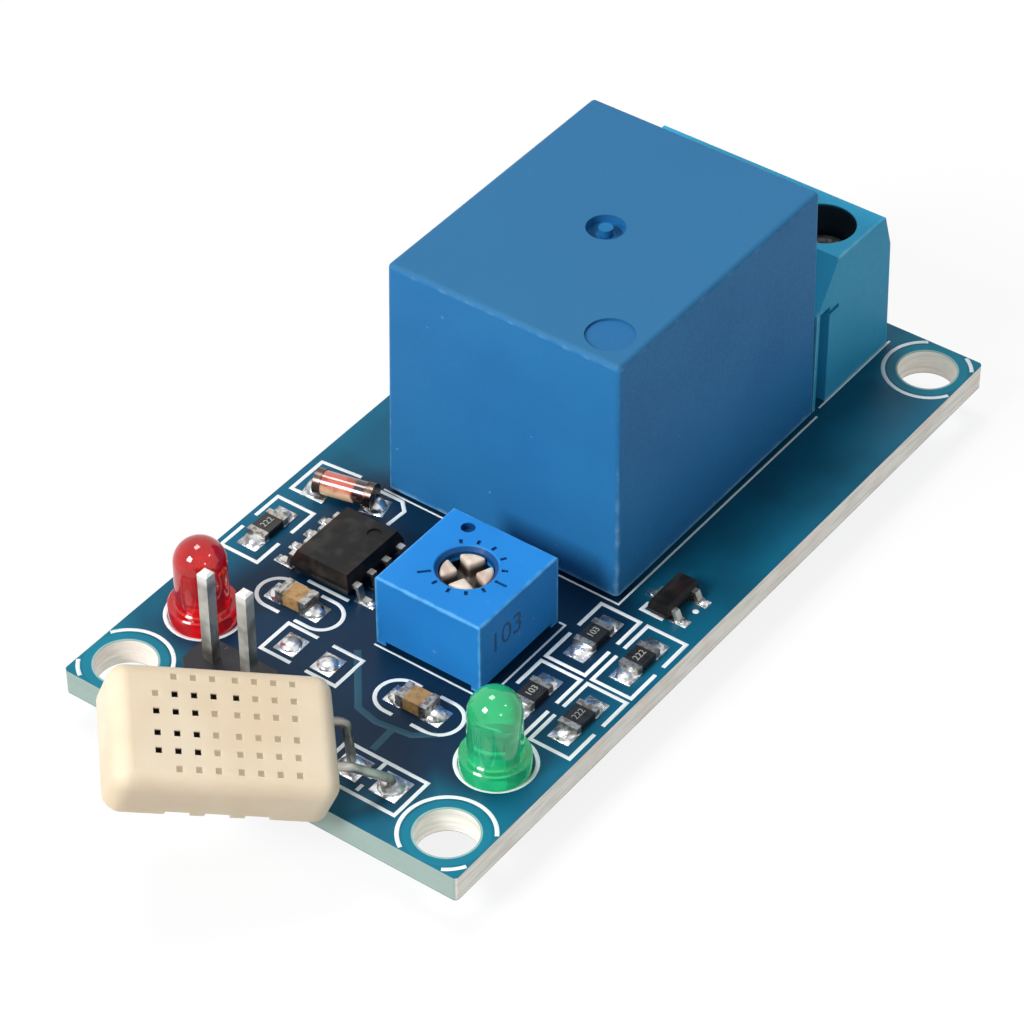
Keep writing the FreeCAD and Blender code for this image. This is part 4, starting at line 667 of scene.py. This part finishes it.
for entry in frame["record"]["subparts"]:
    piece = nodes[entry["node"]]
    piece.data.materials.clear()
    name, slot = entry["node"], entry["material_slot"]
    # painted reflection: the diode's metal caps are painted dark brown, for the dark board they reflect
    if name == "diode_caps":
        look = metal("diode_cap", "#6b5c55", "#382e2b", 0.28)
    elif name == "header_base":
        look = moulded("header_black", "#1a1a20", "#131318", 0.45, dust=0.1)
    elif slot == "resistor_black":
        look = chip_finish(name, name, 0, "#1d1a17", "#100e0d", 0.6 * MM)
    elif slot == "capacitor_tan":
        look = chip_finish(name, name, 90, "#b08a58", "#8d6b3e", 0.5 * MM)
    else:
        look = SLOT_FINISHES[slot]
    piece.data.materials.append(look)

# %% [markdown]
# ## Studio
# The module lies on a pale table in a pale room, as in a catalogue picture. More light could turn
# the table white, but it would wash the module out too. So the table and the room look white only
# to rays from the camera and from shiny or clear surfaces, and stay a grey card to the others.

# %% Table and room
TABLE_SIZE = 2.0
TABLE_GAP = 0.02 * MM
TABLE_WHITE = 0.96
CARD_GREY = 0.54
SHADOW_KEPT = 0.14
ROOM_STRENGTH = 0.25
bpy.ops.object.select_all(action="DESELECT")
bpy.ops.mesh.primitive_plane_add(size=TABLE_SIZE, location=(0, 0, solid_low.z - TABLE_GAP))
table = bpy.context.object
table.name = "table"


def seen_as_white(tree):
    """One for rays that come from the camera, or from a shiny or clear surface."""
    path = tree.nodes.new("ShaderNodeLightPath")
    total = path.outputs["Is Camera Ray"]
    for ray in ("Is Glossy Ray", "Is Transmission Ray"):
        either = tree.nodes.new("ShaderNodeMath")
        either.operation = "MAXIMUM"
        tree.links.new(total, either.inputs[0])
        tree.links.new(path.outputs[ray], either.inputs[1])
        total = either.outputs[0]
    return total


def table_finish():
    """White to the camera, with part of the shadow kept, and a grey card to the other rays."""
    finish = Finish("table_white")
    seen = Wire(finish, seen_as_white(finish.tree))
    shade = seen * (TABLE_WHITE - CARD_GREY) + CARD_GREY
    matt = finish.node("ShaderNodeBsdfDiffuse", sockets={"Color": shade})
    glow = finish.node("ShaderNodeEmission", sockets={"Color": (1, 1, 1, 1), "Strength": 1.0})
    blend = finish.node("ShaderNodeMixShader", sockets=[seen * (1 - SHADOW_KEPT), matt, glow])
    finish.node("ShaderNodeOutputMaterial", sockets={"Surface": blend})
    return finish.material


table.data.materials.append(table_finish())


def room(strength):
    """A grey-white room as light, plain white to the camera and in reflections."""
    world = bpy.data.worlds.new("room")
    world.use_nodes = True
    tree = world.node_tree
    tree.nodes.clear()
    blend = tree.nodes.new("ShaderNodeMixShader")
    tree.links.new(seen_as_white(tree), blend.inputs[0])
    looks = (((0.93, 0.96, 1, 1), strength), ((1, 1, 1, 1), 1.0))
    for place, (colour, power) in enumerate(looks, start=1):
        light = tree.nodes.new("ShaderNodeBackground")
        light.inputs["Color"].default_value = colour
        light.inputs["Strength"].default_value = power
        tree.links.new(light.outputs[0], blend.inputs[place])
    out = tree.nodes.new("ShaderNodeOutputWorld")
    tree.links.new(blend.outputs[0], out.inputs[0])
    bpy.context.scene.world = world


room(ROOM_STRENGTH)
print("table side in m", TABLE_SIZE)

# %% [markdown]
# ## Softboxes
# Small square area lamps stand for a photographer's softboxes: their size sets how soft the shadows
# and how broad the highlights are. The key stands on the left, one hangs above, a weak one fills
# the front, and a very small one adds the sharp glint on the lenses. A sun lamp would be simpler,
# but its highlights are too small for solder and lenses.

# %% Softboxes
def softbox(name, direction, distance, size, power):
    """A square area lamp that looks at the module from a direction."""
    lamp = bpy.data.lights.new(name, "AREA")
    lamp.size = size
    lamp.energy = power
    holder = bpy.data.objects.new(name, lamp)
    way = Vector(direction).normalized()
    holder.location = way * distance
    holder.rotation_mode = "QUATERNION"
    holder.rotation_quaternion = (-way).to_track_quat("-Z", "Y")
    bpy.context.scene.collection.objects.link(holder)


softbox("key", direction=(-1.0, 0.3, 0.8), distance=0.6, size=0.2, power=3.15)
softbox("top", direction=(0.1, 0.3, 1.0), distance=0.7, size=0.22, power=1.75)
softbox("front", direction=(-0.5, -1.0, 0.6), distance=0.7, size=0.1, power=0.3)
softbox("glint", direction=(0.3, -0.8, 0.9), distance=0.5, size=0.05, power=0.12)
bpy.context.scene.view_settings.view_transform = "Standard"
print("softboxes", len(bpy.data.lights))

# %% [markdown]
# ## Modelling helpers
# Every new piece starts as a simple form at its size and place and is then cut, drawn out,
# bevelled or joined. When it is ready its place is applied, so that the object stands at the
# origin like the solid pieces do, and it rides on the module's body.

# %% Helpers
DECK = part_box("circuit_board")[1].z


def clear_selection():
    """Leave edit mode and select nothing."""
    if bpy.context.object and bpy.context.object.mode != "OBJECT":
        bpy.ops.object.mode_set(mode="OBJECT")
    bpy.ops.object.select_all(action="DESELECT")


def pick(*pieces):
    """Make these pieces the selection, and the last one active."""
    clear_selection()
    for piece in pieces:
        piece.select_set(True)
    bpy.context.view_layer.objects.active = pieces[-1]


def settle(piece, name, finish, smooth_angle=None, body="module"):
    """Apply the place, name the piece, give it its finish and let it ride with a body."""
    pick(piece)
    bpy.ops.object.transform_apply(location=True, rotation=True, scale=True)
    piece.name = name
    piece.data.name = name
    piece.data.materials.clear()
    piece.data.materials.append(finish)
    if smooth_angle:
        bpy.ops.object.shade_smooth_by_angle(angle=math.radians(smooth_angle))
    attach(piece, body)
    return piece


def join(pieces):
    """Make one piece of many."""
    pick(*pieces)
    bpy.ops.object.join()
    return bpy.context.object


def bevel(piece, width, segments=3, angle=30):
    """Round the edges that turn by more than an angle."""
    pick(piece)
    edge = piece.modifiers.new("edge", "BEVEL")
    edge.width = width
    edge.segments = segments
    edge.limit_method = "ANGLE"
    edge.angle_limit = math.radians(angle)
    bpy.ops.object.modifier_apply(modifier=edge.name)


def cut_at_deck(piece):
    """Cut a piece off where it meets the top of the board."""
    pick(piece)
    bpy.ops.object.transform_apply(location=True, rotation=True, scale=True)
    bpy.ops.object.mode_set(mode="EDIT")
    bpy.ops.mesh.select_all(action="SELECT")
    bpy.ops.mesh.bisect(plane_co=(0, 0, DECK), plane_no=(0, 0, 1), clear_inner=True, use_fill=True)
    bpy.ops.object.mode_set(mode="OBJECT")


print("deck height in mm", round(DECK / MM, 2))

# %% [markdown]
# ## Ink and copper lines
# The white lines are epoxy ink, pressed through a screen onto the finished board. They could be
# rows of thin boxes, but then every corner needs trimming. A curve with a round section makes
# its own corners: turned into a mesh and pressed flat it becomes a ribbon. The copper that runs
# under the blue mask is made the same way, a little thinner and in the mask's own colour.

# %% Ribbons
def corner_stretch(before, here, after):
    """How much wider a ribbon must be at a corner to keep its width on both sides of it."""
    turn = (here - before).angle(after - here)
    return 1 / max(0.4, math.cos(turn / 2))


def ribbons(name, strokes, width, thickness, finish):
    """Flat lines on the deck through lists of points in millimetres."""
    curve = bpy.data.curves.new(name, "CURVE")
    curve.dimensions = "3D"
    curve.bevel_depth = width / 2 * MM
    curve.bevel_resolution = 2
    curve.use_fill_caps = True
    for stroke in strokes:
        points = [Vector((x, y, 0)) * MM for x, y in stroke]
        closed = len(points) > 3 and (points[0] - points[-1]).length < 1e-7
        if closed:
            points.pop()
        line = curve.splines.new("POLY")
        line.points.add(len(points) - 1)
        line.use_cyclic_u = closed
        for i, here in enumerate(points):
            line.points[i].co = (*here, 1)
            if closed or 0 < i < len(points) - 1:
                line.points[i].radius = corner_stretch(points[i - 1], here, points[(i + 1) % len(points)])
    piece = bpy.data.objects.new(name, curve)
    bpy.context.scene.collection.objects.link(piece)
    pick(piece)
    bpy.ops.object.convert(target="MESH")
    piece = bpy.context.object
    piece.scale.z = 2 * thickness / width
    piece.location.z = DECK
    return settle(piece, name, finish, smooth_angle=40)


def arc(x, y, radius, start, end, steps):
    """Points along part of a circle, by its angles in degrees."""
    angles = [math.radians(start + (end - start) * i / steps) for i in range(steps + 1)]
    return [(x + radius * math.cos(a), y + radius * math.sin(a)) for a in angles]


def bracket(x_open, x_shut, y_low, y_high):
    """Three sides of a box, open towards x_open."""
    return [(x_open, y_low), (x_shut, y_low), (x_shut, y_high), (x_open, y_high)]


def turned_bracket(y_open, y_shut, x_low, x_high):
    """Three sides of a box, open towards y_open."""
    return [(x_low, y_open), (x_low, y_shut), (x_high, y_shut), (x_high, y_open)]


def half_oval(x_low, x_high, y_open, y_round):
    """A U with a round end towards y_round."""
    middle, radius = (x_low + x_high) / 2, (x_high - x_low) / 2
    way = 1 if y_round > y_open else -1
    round_end = arc(middle, y_round - way * radius, radius, 180, 180 - way * 180, 20)
    return [(x_low, y_open)] + round_end + [(x_high, y_open)]


def hole_rings(radius, margin):
    """Rings round the mounting holes, broken where they would run off the board."""
    strokes = []
    gap = math.degrees(math.acos(margin / radius))
    for side_x, side_y, corner in ((1, 1, 45), (-1, 1, 135), (-1, -1, 225), (1, -1, 315)):
        x, y = side_x * HOLE_X, side_y * HOLE_Y
        strokes.append(arc(x, y, radius, corner - 45 + gap, corner + 45 - gap, 8))
        strokes.append(arc(x, y, radius, corner + 45 + gap, corner + 315 - gap, 40))
    return strokes


print("rings run round holes at mm", (HOLE_X, HOLE_Y))

# %% White print
INK_HEIGHT = 0.02
LINE_WIDTH, BOLD_WIDTH = 0.13, 0.23
RING_RADIUS, RING_MARGIN = 2.52, 2.17
ink = moulded("white_ink", "#eef2f2", "#dfe6e6", 0.5, grain=6000, bump=0.1)
RESISTOR_BRACKETS = [  # left end, gap, right end, lower and upper side
    (-9.33, -7.13, -6.40, -4.30, -9.48, -6.97),
    (-9.36, -7.15, -6.45, -4.30, -12.44, -9.97),
    (-14.83, -12.64, -11.90, -9.75, -9.51, -6.97),
    (-14.83, -12.64, -11.90, -9.76, -12.44, -9.95),
    (-12.55, -10.67, -9.60, -7.65, 9.95, 12.45),
]
fine_lines = [
    [(-3.75, 8.1), (-3.83, -7.74), (15.5, -7.74)],  # round the relay
    [(16.19, -7.42), (23.65, -7.42)],  # in front of the terminal block
    [(-13.9, 0.88), (-13.9, -6.4), (-6.82, -6.4), (-6.82, -6.0)],  # round the trimmer
]
bold_lines = hole_rings(RING_RADIUS, RING_MARGIN)
for left, gap_left, gap_right, right, low, high in RESISTOR_BRACKETS:
    bold_lines.append(bracket(gap_left, left, low, high))
    bold_lines.append(bracket(gap_right, right, low, high))
bold_lines += [
    [(-2.74, -8.97), (-3.41, -8.94), (-3.43, -10.36)],  # transistor corner
    [(-3.68, 9.72), (-3.94, 12.3), (-6.67, 12.29), (-6.63, 10.13)],  # diode, square end
    [(-4.01, 8.17), (-3.97, 6.66), (-4.58, 6.05), (-6.01, 6.14)],  # diode, banded end
    [(-12.07, 6.81), (-12.06, 4.04)],  # end of the eight-lead chip
    half_oval(-14.95, -12.6, 6.5, 8.65),
    half_oval(-14.95, -12.6, 5.45, 3.35),
    half_oval(-17.6, -15.05, -3.15, -1.35),
    half_oval(-17.6, -15.05, -4.35, -6.55),
    turned_bracket(3.55, 5.55, -17.65, -15.3),  # spare footprint
    turned_bracket(2.55, 0.55, -17.65, -15.3),
    arc(-17.23, -9.58, 2.12, 0, 360, 48),  # round the lamps
    arc(-17.3, 9.65, 2.12, 0, 360, 48),
    [(-20.5, -2.49), (-20.5, -7.67), (-23.29, -7.67), (-23.29, -2.49), (-20.5, -2.49)],  # sensor's pads
    [(-20.63, -5.05), (-21.96, -5.05)],
    [(-22.52, -5.05), (-23.02, -5.05)],
    arc(-1.87, -11.38, 0.06, 0, 360, 8),  # dot beside the transistor
]
ribbons("white_print_fine", fine_lines, LINE_WIDTH, INK_HEIGHT, ink)
ribbons("white_print_bold", bold_lines, BOLD_WIDTH, INK_HEIGHT, ink)
print("printed lines", len(fine_lines) + len(bold_lines))

# %% Copper under the mask
covered_track = moulded("covered_track", "#124d62", "#0e4256", 0.4, grain=2200, bump=0.1, dust=0.0)
TRACK_WIDTH = 0.4
tracks = [
    [(-14.8, 1.3), (-18.2, -1.4), (-18.5, -2.8), (-18.2, -4.9), (-17.4, -5.9)],
    [(-18.2, -3.8), (-20.2, -3.9)],
]
ribbons("covered_tracks", tracks, TRACK_WIDTH, 0.5 * INK_HEIGHT, covered_track)
print("covered tracks", len(tracks))

# %% [markdown]
# ## Solder
# Machine-placed chips sit in solder that was printed as paste and melted. It wets the metal end
# and the pad and draws itself into a smooth slope. The solid model has a plain wedge there. Here
# each wedge becomes a quarter of an egg on a thin bevelled pad, because a smooth curved surface
# is what gives solder its bright spots.

# %% Pads and slopes
PAD_THICKNESS = 0.1
PAD_ROUNDING = 0.04


def solder_pad(x, y, angle, length, width):
    """A thin rounded plate, half sunk into the deck."""
    bpy.ops.mesh.primitive_cube_add(size=1, location=(x * MM, y * MM, DECK),
                                    rotation=(0, 0, math.radians(angle)),
                                    scale=(length * MM, width * MM, PAD_THICKNESS * MM))
    piece = bpy.context.object
    bpy.ops.object.transform_apply(location=True, rotation=True, scale=True)
    bevel(piece, PAD_ROUNDING * MM, 2)
    return piece


def solder_slope(x, y, angle, run, width, height):
    """A quarter of an egg whose top is at a metal end and whose point is out on the pad."""
    bpy.ops.mesh.primitive_uv_sphere_add(segments=24, ring_count=16, radius=1,
                                         location=(x * MM, y * MM, DECK),
                                         rotation=(0, 0, math.radians(angle)),
                                         scale=(run * MM, width / 2 * MM, height * MM))
    piece = bpy.context.object
    cut_at_deck(piece)
    return piece


print("pad thickness in mm", PAD_THICKNESS)

# %% Solder at the chips
PAD_LENGTH = 1.45  # a pad's length and its place, as shares of how far the solder runs out
PAD_PLACE = 0.3


def chip_solder(node, angle, run, width, height):
    """Solder at both ends of a chip: its pads, and the slopes up its ends."""
    low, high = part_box(node)
    middle = (low + high) / 2 / MM
    a = math.radians(angle)
    half = abs((high.x - low.x) * math.cos(a) + (high.y - low.y) * math.sin(a)) / 2 / MM
    made = []
    for side in (-1, 1):
        reach = side * (half + run * PAD_PLACE)
        x, y = middle.x + reach * math.cos(a), middle.y + reach * math.sin(a)
        made.append(solder_pad(x, y, angle, PAD_LENGTH * run, width))
        reach = side * half
        x, y = middle.x + reach * math.cos(a), middle.y + reach * math.sin(a)
        made.append(solder_slope(x, y, angle, run, width, height))
    return made


lumps = []
for index in range(1, 6):
    lumps += chip_solder("resistor_%d" % index, angle=0, run=0.85, width=1.35, height=0.3)
for index in range(1, 3):
    lumps += chip_solder("capacitor_%d" % index, angle=90, run=0.8, width=1.35, height=0.45)
print("chip solder lumps", len(lumps))

# %% Solder at the diode and on the spare pads
DIODE_REACH = 1.75
SPARE_PADS = ((-16.55, 4.35), (-16.6, 1.85))
diode_low, diode_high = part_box("diode_caps")
diode_middle = (diode_low + diode_high) / 2 / MM
for side in (-1, 1):
    x = diode_middle.x + side * DIODE_REACH * math.cos(math.radians(DIODE_TURN))
    y = diode_middle.y + side * DIODE_REACH * math.sin(math.radians(DIODE_TURN))
    lumps.append(solder_pad(x, y, DIODE_TURN, 1.5, 1.4))
    lumps.append(solder_slope(x, y, DIODE_TURN, 0.7, 1.25, 0.55))
for x, y in SPARE_PADS:
    lumps.append(solder_pad(x, y, 0, 1.5, 1.35))
    lumps.append(solder_slope(x, y, 0, 0.62, 1.24, 0.32))
print("solder lumps so far", len(lumps))

# %% Solder at the gull-wing leads and at the sensor's leads
LEAD_WIDTH = 0.42
CHIP_PITCH = 1.27
TRANSISTOR_PITCH = 0.95
SENSOR_PADS = ((-21.8, -3.81), (-21.8, -6.35))


def lead_solder(x, tip_y, side):
    """Solder at the tip of a gull-wing lead that points to one side."""
    return [solder_pad(x, tip_y - side * 0.25, 90, 1.3, LEAD_WIDTH + 0.2),
            solder_slope(x, tip_y, 90, 0.4, LEAD_WIDTH + 0.1, 0.2)]


low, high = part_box("comparator_leads")
for place in (-1.5, -0.5, 0.5, 1.5):
    x = (low.x + high.x) / 2 / MM + place * CHIP_PITCH
    lumps += lead_solder(x, low.y / MM, -1) + lead_solder(x, high.y / MM, 1)
low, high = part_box("transistor_leads")
x = (low.x + high.x) / 2 / MM
for reach in (-TRANSISTOR_PITCH, TRANSISTOR_PITCH):
    lumps += lead_solder(x + reach, low.y / MM, -1)
lumps += lead_solder(x, high.y / MM, 1)
for x, y in SENSOR_PADS:
    lumps.append(solder_pad(x, y, 0, 1.7, 1.7))
    lumps.append(solder_slope(x, y, 0, 0.75, 1.5, 0.45))
smooth_solder = settle(join(lumps), "surface_solder", solder, smooth_angle=35)
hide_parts("deck_solder")
print("solder vertices", len(smooth_solder.data.vertices))

# %% [markdown]
# ## Lamp lenses
# A lamp lens is cast: liquid tinted resin is poured over the lead frame in a polished mould. It
# could be spun from a profile in one step. Here the dome comes first, as half a sphere, and the
# barrel and the flange are drawn out of its open edge, the way the mould is turned on a lathe.

# %% Cast lenses
LENS_RADIUS = 1.45 * MM
LENS_TAPER = 1.02  # the barrel widens this much on its way down
FILLET_HEIGHT = 0.1 * MM
FILLET_SPREAD = 1.06
FLANGE_HEIGHT = 1.0 * MM
FLANGE_ROUNDING = 0.08 * MM
FLANGE_INSET = 0.96


def cast_lens(name, node, finish):
    """A dome whose open edge is drawn out into the barrel and the flange."""
    low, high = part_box(node)
    x, y = (low.x + high.x) / 2, low.y + (high.x - low.x) / 2
    flange_radius = (high.x - low.x) / 2
    spring = high.z - LENS_RADIUS
    shoulder = low.z + FLANGE_HEIGHT

    def draw_out(down, scale):
        bpy.ops.mesh.extrude_region_move(TRANSFORM_OT_translate={"value": (0, 0, -down)})
        bpy.ops.transform.resize(value=(scale, scale, 1), center_override=(x, y, 0))

    bpy.ops.mesh.primitive_uv_sphere_add(segments=48, ring_count=32, radius=LENS_RADIUS,
                                         location=(x, y, spring))
    piece = bpy.context.object
    bpy.ops.object.transform_apply(location=True, rotation=True, scale=True)
    bpy.ops.object.mode_set(mode="EDIT")
    bpy.ops.mesh.select_all(action="SELECT")
    bpy.ops.mesh.bisect(plane_co=(x, y, spring - 1e-6), plane_no=(0, 0, 1), clear_inner=True)
    draw_out(spring - shoulder - FILLET_HEIGHT, LENS_TAPER)
    draw_out(FILLET_HEIGHT, FILLET_SPREAD)
    draw_out(0.0, flange_radius / (LENS_RADIUS * LENS_TAPER * FILLET_SPREAD) * FLANGE_INSET)
    draw_out(FLANGE_ROUNDING, 1 / FLANGE_INSET)
    draw_out(FLANGE_HEIGHT - FLANGE_ROUNDING, 1.0)
    bpy.ops.mesh.edge_face_add()
    bpy.ops.mesh.select_all(action="SELECT")
    bpy.ops.mesh.normals_make_consistent(inside=False)
    bpy.ops.object.mode_set(mode="OBJECT")
    return settle(piece, name, finish, smooth_angle=35)


for colour, resin in (("red", red_resin), ("green", green_resin)):
    lens = cast_lens(colour + "_lens_cast", colour + "_lamp_lens", resin)
    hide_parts(colour + "_lamp_lens")
    print(colour, "lens height in mm", round(lens.dimensions.z / MM, 2))

# %% [markdown]
# ## The trimmer's rotor
# The screwdriver turns a small nylon rotor, whose cross slot leaves four rounded lobes. The lobes
# could be modelled one by one. Taking two bars out of a disc keeps the slots straight through the
# middle. The disc is then rebuilt from small cubes and smoothed, which rounds every edge, also
# where a bevel would run out of room. The rotor rides on the knob's body and turns with it.

# %% Rotor with a cross slot
ROTOR_RADIUS = 1.45 * MM
SLOT_WIDTH = 0.62 * MM
SLOT_DEPTH = 1.0 * MM
SLOT_TURN = 67
VOXEL_SIZE = 0.055 * MM


def take_out(piece, tool):
    """Cut one piece out of another and remove the tool."""
    pick(piece)
    cut = piece.modifiers.new("cut", "BOOLEAN")
    cut.operation = "DIFFERENCE"
    cut.solver = "EXACT"
    cut.object = tool
    bpy.ops.object.modifier_apply(modifier=cut.name)
    pick(tool)
    bpy.ops.object.delete()


low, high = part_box("trimmer_rotor")
middle = (low + high) / 2
depth = high.z - low.z
clear_selection()
bpy.ops.mesh.primitive_cylinder_add(vertices=64, radius=ROTOR_RADIUS, depth=depth, location=middle)
rotor = bpy.context.object
for turn in (SLOT_TURN, SLOT_TURN + 90):
    clear_selection()
    bpy.ops.mesh.primitive_cube_add(size=1, location=(middle.x, middle.y, high.z),
                                    rotation=(0, 0, math.radians(turn)),
                                    scale=(4 * ROTOR_RADIUS, SLOT_WIDTH, 2 * SLOT_DEPTH))
    take_out(rotor, bpy.context.object)
for kind, settings in (("REMESH", {"mode": "VOXEL", "voxel_size": VOXEL_SIZE}),
                       ("SMOOTH", {"factor": 0.7, "iterations": 45})):
    wear = rotor.modifiers.new("wear", kind)
    for name, value in settings.items():
        setattr(wear, name, value)
    pick(rotor)
    bpy.ops.object.modifier_apply(modifier=wear.name)
rotor = settle(rotor, "rotor_lobes", SLOT_FINISHES["rotor_cream"], smooth_angle=40,
               body="trimmer_knob")
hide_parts("trimmer_rotor")
print("rotor faces", len(rotor.data.polygons))

# %% [markdown]
# ## Value codes
# Chip resistors carry a three-digit value: two figures and the number of noughts that follow. The
# trimmer has its value pressed into its side. A picture laid on the piece would do, but it needs a
# file and blurs close up, so the figures are text turned into a thin mesh.

# %% Figures
FIGURE_DEPTH = 0.01 * MM


def figures(name, text, place, rotation, height, finish):
    """A value in thin figures, centred on a place."""
    bpy.ops.object.text_add(location=place, rotation=rotation)
    piece = bpy.context.object
    piece.data.body = text
    piece.data.size = height
    piece.data.align_x = "CENTER"
    piece.data.align_y = "CENTER"
    piece.data.extrude = FIGURE_DEPTH
    bpy.ops.object.convert(target="MESH")
    return settle(bpy.context.object, name, finish)


RESISTOR_CODES = ("103", "222", "103", "222", "222")
RESISTOR_CODE_HEIGHT = 0.56 * MM
TRIMMER_CODE_HEIGHT = 1.9 * MM
TRIMMER_CODE_PLACE = Vector((2.3, 0.006, 2.6)) * MM  # from the lowest corner of its case
worn_ink = moulded("worn_ink", "#a6a8a1", "#85887f", 0.5, grain=6000, bump=0.1)
for index, text in enumerate(RESISTOR_CODES, start=1):
    low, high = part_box("resistor_%d" % index)
    centre = ((low.x + high.x) / 2, (low.y + high.y) / 2, high.z)
    figures("resistor_%d_code" % index, text, centre, (0, 0, 0), RESISTOR_CODE_HEIGHT, worn_ink)
engraved = moulded("engraved_blue", "#1b4f80", "#174470", 0.55)
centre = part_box("trimmer_housing")[0] + TRIMMER_CODE_PLACE
figures("trimmer_code", "103", centre, (math.radians(90), 0, 0), TRIMMER_CODE_HEIGHT, engraved)
print("codes set", len(RESISTOR_CODES) + 1)
